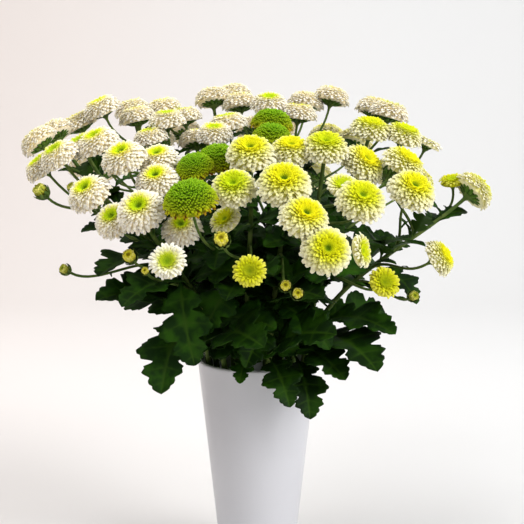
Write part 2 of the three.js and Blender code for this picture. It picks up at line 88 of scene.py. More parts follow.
SPRAYS = (
    Spray(
        "far_left", Ring.OUTER, 176, (6, 100, 200), (-50, 45, 185),
        blooms=(
            ("white_02", -184, -23, 362, 34), ("white_02", -166, -41, 372, 36),
            ("white_01", -194, 12, 383, 36, (-0.65, 0.1, 0.75)),
            ("white_01", -184, 37, 390, 35, (-0.55, 0.25, 0.8)),
        ),
        leaves=((0.14, -124, 60, 240), (0.32, -111, 38, 256), (0.5, -154, -10, 304)),
    ),
    Spray(
        "left", Ring.OUTER, 199, (6, 100, 200), (-50, 45, 185),
        buds=((-159, -60, 278, 11), (-153, -50, 345, 11), (-179, -50, 342, 15)),
        blooms=(("white_06", -136, -75, 343, 38), ("white_04", -151, -15, 379, 34)),
        leaves=((0.2, -133, -70, 254), (0.2, -77, -98, 182), (0.42, -128, -84, 276)),
    ),
    Spray(
        "left_inner", Ring.INNER, 175, (6, 100, 200), (-50, 45, 185),
        blooms=(
            ("white_08", -81, -72, 353, 37), ("white_05", -109, -63, 371, 39),
            ("white_08", -82, -47, 369, 36), ("white_04", -134, -36, 383, 37),
            ("white_09", -95, 14, 386, 32),
        ),
        leaves=((0.32, -81, -28, 306), (0.34, -69, -60, 253)),
    ),
    Spray(
        "front_left", Ring.OUTER, 231, (6, 100, 200), (-50, 45, 185),
        buds=((-87, -110, 284, 8), (-100, -100, 294, 14)),
        blooms=(
            ("white_12", -67, -140, 296, 31), ("white_07", -113, -94, 323, 34),
            ("white_13", -60, -88, 316, 34), ("white_07", -90, -111, 332, 40),
        ),
        leaves=((0.14, 6, -122, 226), (0.52, -106, -112, 256), (0.6, -50, -95, 205)),
    ),
    Spray(
        "back_left", Ring.OUTER, 150, (-34, 130, 200), (-60, 60, 180),
        blooms=(
            ("white_03", -166, 63, 398, 36), ("white_09", -81, 24, 401, 34),
            ("white_10", -113, 70, 404, 36), ("white_03", -143, 49, 412, 36, (-0.4, -0.2, 0.9)),
            ("white_10", -120, 91, 411, 35),
        ),
        leaves=(
            (0.11, -92, 76, 230), (0.26, -84, 120, 225), (0.29, -130, 66, 294),
            (0.32, -102, 20, 330),
        ),
    ),
    Spray(
        "top_left", Ring.INNER, 125, (6, 150, 200), (-30, 80, 180),
        blooms=(
            ("white_14", -55, 32, 383, 34, (-0.1, 0.35, 0.93)), ("white_14", -38, 14, 389, 34),
            ("white_11", -70, 90, 404, 34), ("white_11", -91, 100, 412, 36),
            ("white_15", -44, 110, 422, 36, (-0.15, 0.3, 0.94)),
        ),
        leaves=((0.34, -58, 64, 286), (0.62, -14, 124, 250)),
    ),
    Spray(
        "green", Ring.INNER, 218, (6, 100, 200), (-10, 20, 180),
        blooms=(
            ("lime_01", -51, -124, 343, 43, (-0.15, -0.42, 0.9)), ("lime_02", -51, -62, 364, 34),
            ("lime_03", 13, -27, 388, 36), ("lime_03", 13, 0, 400, 38),
            ("lime_02", -33, -46, 370, 38),
        ),
        leaves=((0.62, -34, -90, 282), (0.69, -35, -74, 314)),
    ),
    Spray(
        "front", Ring.OUTER, 258, (6, 100, 200), (0, 40, 185),
        buds=((-26, -140, 312, 15),),
        blooms=(
            ("yellow_13", -5, -150, 290, 27),
            ("yellow_14", -25, -90, 323, 30, (-0.5, -0.55, 0.65)),
            ("yellow_02", -18, -104, 349, 38), ("yellow_01", -5, -77, 375, 41),
        ),
        leaves=(
            (0.04, -14, -80, 186), (0.38, -24, -112, 261), (0.38, 14, -112, 282),
            (0.46, -44, -88, 228),
        ),
    ),
    Spray(
        "front_right", Ring.OUTER, 283, (6, 100, 200), (15, 30, 180),
        buds=((31, -140, 271, 11), (22, -140, 277, 11)),
        blooms=(
            ("yellow_04", 52, -151, 306, 39, (0.18, -0.9, 0.4)),
            ("yellow_04", 36, -138, 329, 40, (0.28, -0.63, 0.72)),
            ("yellow_04", 21, -117, 353, 44), ("yellow_03", 28, -57, 376, 38),
        ),
        leaves=(
            (0.05, 63, -112, 234), (0.05, 27, -98, 171), (0.26, -9, -92, 202),
            (0.28, 53, -106, 262), (0.32, 59, -90, 217), (0.38, 88, -88, 280),
        ),
    ),
    Spray(
        "right_inner", Ring.OUTER, 314, (6, 100, 200), (40, 40, 180),
        blooms=(
            ("yellow_11", 99, -120, 277, 27), ("yellow_12", 80, -130, 303, 28, (0.85, -0.45, 0.2)),
            ("yellow_07", 81, -110, 340, 41), ("yellow_07", 68, -95, 350, 28),
            ("yellow_06", 88, -44, 365, 41, (0.55, -0.45, 0.7)), ("yellow_03", 56, -61, 379, 40),
        ),
        leaves=((0.05, 44, -84, 157), (0.08, 72, -92, 192)),
    ),
    Spray(
        "right", Ring.OUTER, 345, (6, 100, 200), (60, 60, 185),
        buds=((127, -80, 259, 11),),
        blooms=(
            ("yellow_10", 148, -80, 291, 32, (0.8, -0.34, 0.5)), ("yellow_08", 126, -73, 345, 41),
            ("yellow_08", 122, -47, 366, 38, (0.5, -0.32, 0.8)),
            ("yellow_09", 170, -7, 349, 24, (-0.15, -0.3, 0.94)),
            ("yellow_09", 188, -14, 341, 38, (0.75, 0.25, 0.61)),
        ),
        leaves=(
            (0.09, 97, -100, 201), (0.17, 115, -68, 225), (0.44, 66, -70, 304),
            (0.46, 124, -72, 304), (0.54, 134, -54, 248),
        ),
    ),
    Spray(
        "back_right", Ring.OUTER, 18, (46, 110, 200), (60, 60, 185),
        blooms=(
            ("yellow_17", 155, 97, 341, 38, (0.7, 0.5, 0.5)),
            ("yellow_17", 132, 118, 349, 38, (0.5, 0.65, 0.55)), ("white_20", 157, 50, 380, 30),
            ("yellow_05", 128, 4, 388, 36), ("yellow_05", 99, 2, 393, 38),
            ("white_19", 123, 65, 408, 38), ("white_19", 113, 95, 412, 38),
        ),
        leaves=(
            (0.12, 118, 34, 224), (0.26, 56, 60, 330), (0.32, 126, 100, 250), (0.36, 128, 42, 292),
            (0.62, 66, 150, 300),
        ),
    ),
    Spray(
        "top", Ring.INNER, 70, (16, 140, 200), (10, 60, 180),
        blooms=(
            ("white_16", 38, 61, 407, 36), ("white_14", -27, 38, 398, 36),
            ("white_17", 72, 110, 423, 36), ("white_17", 47, 110, 418, 36),
            ("white_15", -17, 103, 417, 36), ("white_15", -24, 130, 426, 36),
            ("white_16", 11, 68, 416, 36, (0, -0.3, 0.95)),
        ),
        leaves=((0.36, 0, 92, 290), (0.52, 60, -8, 330)),
    ),
    Spray(
        "rear_left", Ring.OUTER, 121, (6, -60, 200), (-30, 20, 185),
        blooms=(
            ("white_23", -88, 173, 342, 36), ("white_23", -60, 182, 350, 36),
            ("white_21", -168, 99, 360, 36), ("white_21", -148, 121, 354, 36),
            ("white_22", -102, 152, 380, 36), ("white_22", -76, 163, 390, 36),
        ),
        leaves=(
            (0.07, -56, 104, 190), (0.08, 6, 130, 215), (0.3, -38, 134, 262),
            (0.44, -113, 118, 276),
        ),
    ),
    Spray(
        "rear_right", Ring.OUTER, 60, (6, -60, 200), (30, 20, 185),
        blooms=(
            ("yellow_16", 30, 189, 349, 38), ("yellow_16", 60, 186, 343, 38),
            ("yellow_15", 98, 143, 379, 38), ("yellow_15", 71, 157, 384, 38),
            ("white_24", -6, 175, 392, 36), ("white_24", 23, 170, 395, 36),
        ),
        leaves=(
            (0.07, 62, 100, 186), (0.14, 66, 130, 230), (0.26, 90, 104, 244), (0.36, 19, 138, 284),
            (0.5, 98, 120, 290),
        ),
    ),
)


# ------------------------------------------------------------------------ vectors and curves


def unit(vectors: np.ndarray) -> np.ndarray:
    """Scales vectors to length one along their last axis."""
    return vectors / np.linalg.norm(vectors, axis=-1, keepdims=True)


def blend(low: float, high: float, share: np.ndarray | float) -> np.ndarray | float:
    """Gives the value a share of the way from low to high."""
    return low + (high - low) * share


def turned_to(direction: np.ndarray) -> np.ndarray:
    """Gives the matrix that turns +Z to a direction by the shortest way."""
    turn = Vector((0.0, 0.0, 1.0)).rotation_difference(Vector(direction))
    return np.array(turn.to_matrix())


@dataclass(frozen=True)
class Bezier:
    """A cubic curve through four control points.

    A stem or branch leaves its first point along one direction and comes up to its last
    along another.
    """

    points: np.ndarray

    LAUNCH = 0.35

    @classmethod
    def rise(
        cls, start: np.ndarray, leaving: np.ndarray, end: np.ndarray, arriving: np.ndarray
    ) -> "Bezier":
        """Makes the curve of a stem.

        Args:
            start: Where it begins.
            leaving: Its direction there.
            end: Where it ends.
            arriving: Its direction there.

        Returns:
            The curve.
        """
        reach = cls.LAUNCH * np.linalg.norm(end - start)
        return cls(np.array([start, start + leaving * reach, end - arriving * reach, end]))

    def at(self, share: np.ndarray | float) -> np.ndarray:
        """Gives points on the curve.

        Args:
            share: Places on it, from 0 at its start to 1 at its end.

        Returns:
            A point for each place.
        """
        t = np.asarray(share)[..., None]
        a, b, c, d = self.points
        return (1 - t) ** 3 * a + 3 * t * (1 - t) ** 2 * b + 3 * t**2 * (1 - t) * c + t**3 * d

    def along(self, share: np.ndarray | float) -> np.ndarray:
        """Gives the curve's directions.

        Args:
            share: Places on it, from 0 at its start to 1 at its end.

        Returns:
            A direction for each place.
        """
        t = np.asarray(share)[..., None]
        a, b, c, d = self.points
        return unit((1 - t) ** 2 * (b - a) + 2 * t * (1 - t) * (c - b) + t**2 * (d - c))


# ------------------------------------------------------------------------ meshes


def spun(profile: np.ndarray, sides: int) -> np.ndarray:
    """Turns an outline about +Z.

    Args:
        profile: Rows of (distance from the axis, height).
        sides: How many points each row makes.

    Returns:
        Points by row, side and axis.
    """
    turns = np.arange(sides) * 2 * math.pi / sides
    distance, height = profile[:, :1], np.repeat(profile[:, 1:], sides, axis=1)
    return np.stack([distance * np.cos(turns), distance * np.sin(turns), height], -1)


class Draft:
    """Closed shells gathered into one mesh, with masks painted on their points.

    A line whose sideways lean is under UPRIGHT counts as upright.
    """

    UPRIGHT = 1e-3

    def __init__(self, *masks: str) -> None:
        """Starts an empty mesh.

        Args:
            masks: The names of the masks that its finishes read.
        """
        self.masks: dict[str, list[np.ndarray]] = {name: [] for name in masks}
        self.points: list[np.ndarray] = []
        self.faces: list[np.ndarray] = []
        self.slots: list[np.ndarray] = []
        self.count = 0

    def loft(self, rings: np.ndarray, slot: int = 0, **masks: np.ndarray | float) -> None:
        """Adds closed skins over rows of rings.

        Args:
            rings: Points by shell, ring, side and axis. A ring runs anticlockwise as seen
                from its shell's last ring, and has an even number of sides.
            slot: Which of the piece's materials the shells wear.
            masks: Values that spread over (shell, ring, side).
        """
        shells, rows, sides, _ = rings.shape
        index = np.arange(shells * rows * sides).reshape(shells, rows, sides) + self.count
        ahead = np.roll(index, -1, axis=2)
        walls = np.stack(
            [index[:, :-1], ahead[:, :-1], ahead[:, 1:], index[:, 1:]], axis=-1
        ).reshape(-1, 4)
        k = np.arange(sides // 2 - 1)
        corners = np.stack([k, k + 1, sides - 2 - k, sides - 1 - k], axis=-1)
        last = index[:, -1][:, corners].reshape(-1, 4)
        first = index[:, 0][:, corners[:, ::-1]].reshape(-1, 4)
        made = np.concatenate([walls, first, last])
        self.points.append(rings.reshape(-1, 3))
        self.faces.append(made)
        self.slots.append(np.full(len(made), slot))
        self.count += index.size
        for name, values in self.masks.items():
            value = np.broadcast_to(masks.get(name, 0.0), (shells, rows, sides))
            values.append(value.reshape(-1))

    def tube(
        self,
        centres: np.ndarray,
        radii: np.ndarray,
        sides: int,
        ridge: float = 0.0,
        slot: int = 0,
        **masks: np.ndarray | float,
    ) -> None:
        """Adds a round rod along a line.

        Args:
            centres: Points of the line.
            radii: The rod's radius at each.
            sides: How many sides it has, an even number.
            ridge: How far every other side stands proud, as a share of the radius.
            slot: Which of the piece's materials it wears.
            masks: Values for the masks.
        """
        heading = unit(np.gradient(centres, axis=0))
        across = np.cross(UP, heading[0])
        if np.linalg.norm(across) < self.UPRIGHT:
            across = np.array([1.0, 0.0, 0.0])
        turns = np.arange(sides) * 2 * math.pi / sides
        proud = 1 + ridge * np.where(np.arange(sides) % 2, -1, 1)
        rings = []
        for centre, direction, radius in zip(centres, heading, radii):
            across = unit(across - direction * across.dot(direction))
            other = np.cross(direction, across)
            spokes = np.outer(np.cos(turns), across) + np.outer(np.sin(turns), other)
            rings.append(centre + spokes * (radius * proud)[:, None])
        self.loft(np.array(rings)[None], slot, **masks)

    def made(self, name: str, *materials: bpy.types.Material) -> bpy.types.Object:
        """Makes the object.

        Args:
            name: The piece's name.
            materials: What its slots wear.

        Returns:
            A smooth-shaded object that rides on the bouquet's body.
        """
        points = np.concatenate(self.points)
        faces = np.concatenate(self.faces)
        mesh = bpy.data.meshes.new(name)
        mesh.vertices.add(len(points))
        mesh.vertices.foreach_set("co", points.astype(np.float32).reshape(-1))
        mesh.loops.add(faces.size)
        mesh.loops.foreach_set("vertex_index", faces.astype(np.int32).reshape(-1))
        mesh.polygons.add(len(faces))
        mesh.polygons.foreach_set("loop_start", np.arange(0, faces.size, 4, dtype=np.int32))
        mesh.polygons.foreach_set("material_index", np.concatenate(self.slots).astype(np.int32))
        mesh.polygons.foreach_set("use_smooth", np.ones(len(faces), dtype=bool))
        mesh.update(calc_edges=True)
        for mask, values in self.masks.items():
            layer = mesh.attributes.new(mask, "FLOAT", "POINT")
            layer.data.foreach_set("value", np.concatenate(values).astype(np.float32))
        for material in materials:
            mesh.materials.append(material)
        piece = bpy.data.objects.new(name, mesh)
        bpy.context.scene.collection.objects.link(piece)
        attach(piece, "root")
        LOG.info("%s: %d faces", name, len(faces))
        return piece


# ------------------------------------------------------------------------ shader trees


class Tree:
    """Lays out the nodes of a material or a shader group."""

    def __init__(self, tree: bpy.types.NodeTree) -> None:
        """Takes the tree to fill."""
        self.tree = tree

    def node(
        self, kind: str, inputs: dict[str | int, Input] | None = None, **settings: object
    ) -> bpy.types.Node:
        """Adds a node.

        Args:
            kind: The node's type.
            inputs: Values or sockets by the input's name or number.
            settings: The node's own settings.

        Returns:
            The node.
        """
        made = self.tree.nodes.new(kind)
        for key, value in settings.items():
            setattr(made, key, value)
        for key, value in (inputs or {}).items():
            if isinstance(value, bpy.types.NodeSocket):
                self.tree.links.new(value, made.inputs[key])
            else:
                made.inputs[key].default_value = value
        return made

    def mask(self, name: str) -> bpy.types.NodeSocket:
        """Reads one of the mesh's painted masks."""
        return self.node("ShaderNodeAttribute", attribute_name=name).outputs["Fac"]

    def mix(self, share: Input, low: Input, high: Input) -> bpy.types.NodeSocket:
        """Mixes two colours by a share of the second."""
        made = self.node("ShaderNodeMix", {0: share, 6: low, 7: high}, data_type="RGBA")
        return made.outputs[2]

    def step(
        self, value: Input, low: float, high: float, first: float = 0.0, last: float = 1.0
    ) -> bpy.types.NodeSocket:
        """Turns a value into a soft step.

        Args:
            value: The value's socket.
            low: Where the step starts.
            high: Where it ends.
            first: What it gives below.
            last: What it gives above.

        Returns:
            The step's socket.
        """
        inputs = {"Value": value, "From Min": low, "From Max": high}
        inputs.update({"To Min": first, "To Max": last})
        made = self.node("ShaderNodeMapRange", inputs, interpolation_type="SMOOTHSTEP")
        return made.outputs["Result"]

    def sum(self, operation: str, *values: Input) -> bpy.types.NodeSocket:
        """Joins numbers by one operation of the Math node."""
        made = self.node("ShaderNodeMath", dict(enumerate(values)), operation=operation)
        return made.outputs[0]

    def ramp(self, value: Input, *stops: tuple[float, Colour]) -> bpy.types.NodeSocket:
        """Colours a value by a row of stops.

        Args:
            value: The value's socket.
            stops: (place, colour), from the lowest place up.

        Returns:
            The colour's socket.
        """
        made = self.node("ShaderNodeValToRGB", {"Fac": value})
        elements = made.color_ramp.elements
        while len(elements) < len(stops):
            elements.new(0.5)
        for element, (place, colour) in zip(elements, stops):
            element.position = place
            element.color = colour
        return made.outputs["Color"]

    def noise(self, scale: Input, detail: float = 2.0) -> bpy.types.NodeSocket:
        """Adds soft noise.

        Args:
            scale: How many patches there are to the metre.
            detail: How many finer layers lie over them.

        Returns:
            The noise's socket.
        """
        place = self.node("ShaderNodeTexCoord").outputs["Object"]
        inputs = {"Vector": place, "Scale": scale, "Detail": detail}
        return self.node("ShaderNodeTexNoise", inputs).outputs["Fac"]


def dressed(
    name: str, values: dict[str, float | tuple]
) -> tuple[bpy.types.Material, Tree, bpy.types.Node]:
    """Starts a material.

    Args:
        name: Its name.
        values: What is the same all over it, by the shader's own socket.

    Returns:
        The material, its tree and its shader.
    """
    material = bpy.data.materials.new(name)
    material.use_nodes = True
    shader = material.node_tree.nodes["Principled BSDF"]
    for socket, value in values.items():
        shader.inputs[socket].default_value = value
    return material, Tree(material.node_tree), shader


class Effect:
    """Shader groups that more than one finish uses, each built once.

    PATCH says at which heights of the noise a patch starts and is whole.
    """

    PATCH = (0.40, 0.66)

    def __init__(self) -> None:
        """Builds the groups."""
        self.mottle = self._mottle()
        self.relief = self._relief()

    @staticmethod
    def _group(
        name: str, inputs: dict[str, str], output: tuple[str, str]
    ) -> tuple[bpy.types.NodeTree, Tree, bpy.types.Node, bpy.types.Node]:
        """Starts a group.

        Args:
            name: The group's name.
            inputs: Socket types by name.
            output: Its one output's name and type.

        Returns:
            The group, its tree and its input and output nodes.
        """
        group = bpy.data.node_groups.new(name, "ShaderNodeTree")
        for socket, kind in inputs.items():
            group.interface.new_socket(socket, in_out="INPUT", socket_type=kind)
        group.interface.new_socket(output[0], in_out="OUTPUT", socket_type=output[1])
        tree = Tree(group)
        return group, tree, tree.node("NodeGroupInput"), tree.node("NodeGroupOutput")

    def _mottle(self) -> bpy.types.NodeTree:
        """Builds uneven colour: a second tone in soft patches, and a tone for each part.

        Returns:
            The group.
        """
        kinds = {name: "NodeSocketColor" for name in ("Colour", "Second Colour")}
        kinds.update({name: "NodeSocketFloat" for name in ("Scale", "Amount", "Shade")})
        group, tree, given, result = self._group(
            "uneven_colour", kinds, ("Colour", "NodeSocketColor")
        )
        patches = tree.noise(given.outputs["Scale"], 3.0)
        share = tree.sum("MULTIPLY", tree.step(patches, *self.PATCH), given.outputs["Amount"])
        mixed = tree.mix(share, given.outputs["Colour"], given.outputs["Second Colour"])
        inputs = {"Value": given.outputs["Shade"], "Color": mixed}
        shaded = tree.node("ShaderNodeHueSaturation", inputs)
        tree.tree.links.new(shaded.outputs["Color"], result.inputs["Colour"])
        return group

    def _relief(self) -> bpy.types.NodeTree:
        """Builds fine relief: the height of a surface's grain.

        Returns:
            The group.
        """
        kinds = {"Scale": "NodeSocketFloat", "Coarse": "NodeSocketFloat"}
        group, tree, given, result = self._group(
            "fine_relief", kinds, ("Height", "NodeSocketFloat")
        )
        fine = tree.noise(given.outputs["Scale"], 4.0)
        wide = tree.noise(given.outputs["Coarse"], 1.0)
        tree.tree.links.new(tree.sum("ADD", fine, wide), result.inputs["Height"])
        return group

    @staticmethod
    def place(
        tree: Tree, group: bpy.types.NodeTree, inputs: dict[str, Input]
    ) -> bpy.types.NodeSocket:
        """Puts a group into a material and gives its output."""
        return tree.node("ShaderNodeGroup", inputs, node_tree=group).outputs[0]

    def roughen(
        self,
        tree: Tree,
        shader: bpy.types.Node,
        grain: float,
        coarse: float,
        strength: float,
        distance: float,
    ) -> None:
        """Gives a material its fine relief.

        Args:
            tree: The material's tree.
            shader: Its shader.
            grain: How many fine grains there are to the metre.
            coarse: How many wide waves there are to the metre.
            strength: How strong the relief is.
            distance: How high it stands, in metres.
        """
        height = self.place(tree, self.relief, {"Scale": grain, "Coarse": coarse})
        inputs = {"Height": height, "Strength": strength, "Distance": distance}
        bump = tree.node("ShaderNodeBump", inputs)
        tree.tree.links.new(bump.outputs["Normal"], shader.inputs["Normal"])


class Finish(Protocol):
    """Anything that can colour a material."""

    def colour(self, tree: Tree, effects: Effect) -> bpy.types.NodeSocket:
        """Lays out the colour's nodes in a material and gives their last socket."""


@dataclass(frozen=True)
class Surface:
    """How a finish takes light: the values set on its shader's own sockets."""

    roughness: float
    coat: float = 0.0
    sheen: float = 0.0
    subsurface: float = 0.0
    scatter: tuple[float, float, float] = (1.0, 0.9, 0.6)
    specular: float = 0.5
    bump: float = 0.2
    bump_distance: float = 0.0003
    grain: float = 900.0
    coarse: float = 120.0

    def dress(self, name: str, effects: Effect, finish: Finish) -> bpy.types.Material:
        """Makes the material.

        Args:
            name: The material's name.
            effects: The shared shader groups.
            finish: What colours it.

        Returns:
            The material.
        """
        values = {
            "Roughness": self.roughness,
            "Coat Weight": self.coat,
            "Coat Roughness": 0.12,
            "Sheen Weight": self.sheen,
            "Sheen Roughness": 0.6,
            "Subsurface Weight": self.subsurface,
            "Subsurface Scale": 0.0015,
            "Subsurface Radius": self.scatter,
            "Specular IOR Level": self.specular,
        }
        material, tree, shader = dressed(name, values)
        tree.tree.links.new(finish.colour(tree, effects), shader.inputs["Base Color"])
        effects.roughen(tree, shader, self.grain, self.coarse, self.bump, self.bump_distance)
        return material


@dataclass(frozen=True)
class PetalFinish:
    """The colours of a bloom, by tier from its dimple out to its lowest petals.

    A petal is palest at its tip, and wears a painted highlight along its rim whose darker middle
    stands for painted shade in its cup. Its root takes the base colour, partly its own greener
    colour and partly painted shade deep among the petals. An unripe bloom is greener round its
    eye. Flecks are soft spots on the petals past a tier.
    """

    tiers: tuple[tuple[float, Colour], ...]
    tip: Colour
    # The base colour is partly the petals' own greener colour at their roots and partly painted
    # shade deep among them.
    base: Colour
    green: Colour
    green_tiers: tuple[float, float] = (0.28, 0.62)
    tip_from: float = 0.40
    tip_share: float = 0.7
    # The rim share sets how strong the painted highlight along a petal's rim is.
    rim_share: float = 0.5
    fleck: Colour = (0.5, 0.45, 0.2, 1.0)
    fleck_from: float = 0.5
    flecks: float = 0.10

    UNRIPE_SHARE = 0.75
    TIP_FADE = 0.35
    TIP_LENGTH = (0.50, 0.95)
    # Where the painted highlight along the rim starts and is whole, across the petal.
    RIM_HIGHLIGHT_WIDTH = (0.35, 1.0)
    # Over what length, and how strongly, a petal's root takes the base colour: partly real colour,
    # partly painted shade.
    ROOT_COLOUR_AND_SHADE_LENGTH = (0.05, 0.70)
    ROOT_COLOUR_AND_SHADE_SHARE = 0.8
    FLECK_SCALE = 420.0
    TONES = (0.93, 1.05)

    def colour(self, tree: Tree, effects: Effect) -> bpy.types.NodeSocket:
        """Colours a petal by tier and length, with a painted rim highlight and painted root shade.

        Args:
            tree: The material's tree.
            effects: The shared shader groups.

        Returns:
            The colour.
        """
        tier, along = tree.mask("tier"), tree.mask("along")
        ripe = tree.ramp(tier, *self.tiers)
        eye = tree.step(tier, *self.green_tiers, self.UNRIPE_SHARE, 0.0)
        body = tree.mix(tree.sum("MULTIPLY", eye, tree.mask("unripe")), ripe, self.green)
        # Painted highlight along each petal's rim; its middle stays darker as painted shade in the
        # cup.
        rim = tree.step(tree.mask("rim"), *self.RIM_HIGHLIGHT_WIDTH, 0.0, self.rim_share)
        tips = tree.step(along, *self.TIP_LENGTH, 0.0, self.tip_share)
        outer = tree.step(tier, self.tip_from, self.tip_from + self.TIP_FADE)
        tip_and_rim_highlight = tree.sum("MULTIPLY", tree.sum("MAXIMUM", rim, tips), outer)
        tipped = tree.mix(tip_and_rim_highlight, body, self.tip)
        # Towards the root the petal takes the base colour, partly its own greener colour and
        # partly painted shade.
        root_colour_and_shade = tree.step(along, *self.ROOT_COLOUR_AND_SHADE_LENGTH, self.ROOT_COLOUR_AND_SHADE_SHARE, 0.0)
        inputs = {
            "Colour": tree.mix(root_colour_and_shade, tipped, self.base),
            "Second Colour": self.fleck,
            "Scale": self.FLECK_SCALE,
            "Amount": tree.step(tier, self.fleck_from, 1.0, 0.0, self.flecks),
            "Shade": tree.step(tree.mask("shade"), 0.0, 1.0, *self.TONES),
        }
        return effects.place(tree, effects.mottle, inputs)


@dataclass(frozen=True)
class GreenFinish:
    """The colours of a leaf or a stem."""

    main: Colour
    second: Colour
    vein: Colour
    under: Colour
    scale: float = 70.0

    PATCH_SHARE = 0.8
    TONES = (0.72, 1.30)

    def colour(self, tree: Tree, effects: Effect) -> bpy.types.NodeSocket:
        """Colours a leaf by its veins and its two faces.

        Args:
            tree: The material's tree.
            effects: The shared shader groups.

        Returns:
            The colour.
        """
        inputs = {
            "Colour": self.main,
            "Second Colour": self.second,
            "Scale": self.scale,
            "Amount": self.PATCH_SHARE,
            "Shade": tree.step(tree.mask("shade"), 0.0, 1.0, *self.TONES),
        }
        body = effects.place(tree, effects.mottle, inputs)
        veined = tree.mix(tree.mask("vein"), body, self.vein)
        return tree.mix(tree.mask("under"), veined, self.under)


@dataclass(frozen=True)
class GlazeFinish:
    """The colours of the vase's glaze and of its bare foot ring."""

    glaze: Colour
    second: Colour
    bare: Colour

    SCALE = 14.0
    PATCH_SHARE = 0.5

    def colour(self, tree: Tree, effects: Effect) -> bpy.types.NodeSocket:
        """Colours the vase.

        Args:
            tree: The material's tree.
            effects: The shared shader groups.

        Returns:
            The colour.
        """
        inputs = {
            "Colour": self.glaze,
            "Second Colour": self.second,
            "Scale": self.SCALE,
            "Amount": self.PATCH_SHARE,
            "Shade": 1.0,
        }
        body = effects.place(tree, effects.mottle, inputs)
        return tree.mix(tree.mask("bare"), body, self.bare)


def tint(red: int, green: int, blue: int) -> Colour:
    """Turns a display colour into the linear colour that shaders take.

    Args:
        red: Its red, from 0 to 255.
        green: Its green.
        blue: Its blue.

    Returns:
        The linear colour, with full alpha.
    """
    channels = []
    for value in (red, green, blue):
        share = value / 255.0
        channels.append(share / 12.92 if share <= 0.04045 else ((share + 0.055) / 1.055) ** 2.4)
    return (*channels, 1.0)


# ------------------------------------------------------------------------ blooms


@dataclass(frozen=True)
class Whorl:
    """A ring of bracts under a bloom, in parts of the bloom's radius."""

    count: int
    root: tuple[float, float]
    tip: tuple[float, float]
    width: float
    lean: float


@dataclass(frozen=True)
class HeadForm:
    """How one kind of bloom is built, in parts of its radius.

    The profile says where the petals' tips lie by tier, from the middle out: (tier, distance
    from the axis, height). Roots are (distance, height) at the first and last tier.
    """

    petals: int
    florets: int
    middle: float
    inner: float
    profile: tuple
    roots: tuple
    widths: tuple[float, float]
    leans: tuple[float, float]
    whorls: tuple = ()
    floret_width: float = 0.026
    floret_length: float = 0.26
    floret_leans: tuple[float, float] = (0.05, 0.62)
    crowding: float = 0.5
    roughness: float = 0.004

    def edge(self, tier: np.ndarray) -> tuple[np.ndarray, np.ndarray]:
        """Gives the distance and height of the profile at some tiers."""
        tiers, distances, heights = np.array(self.profile).T
        return np.interp(tier, tiers, distances), np.interp(tier, tiers, heights)


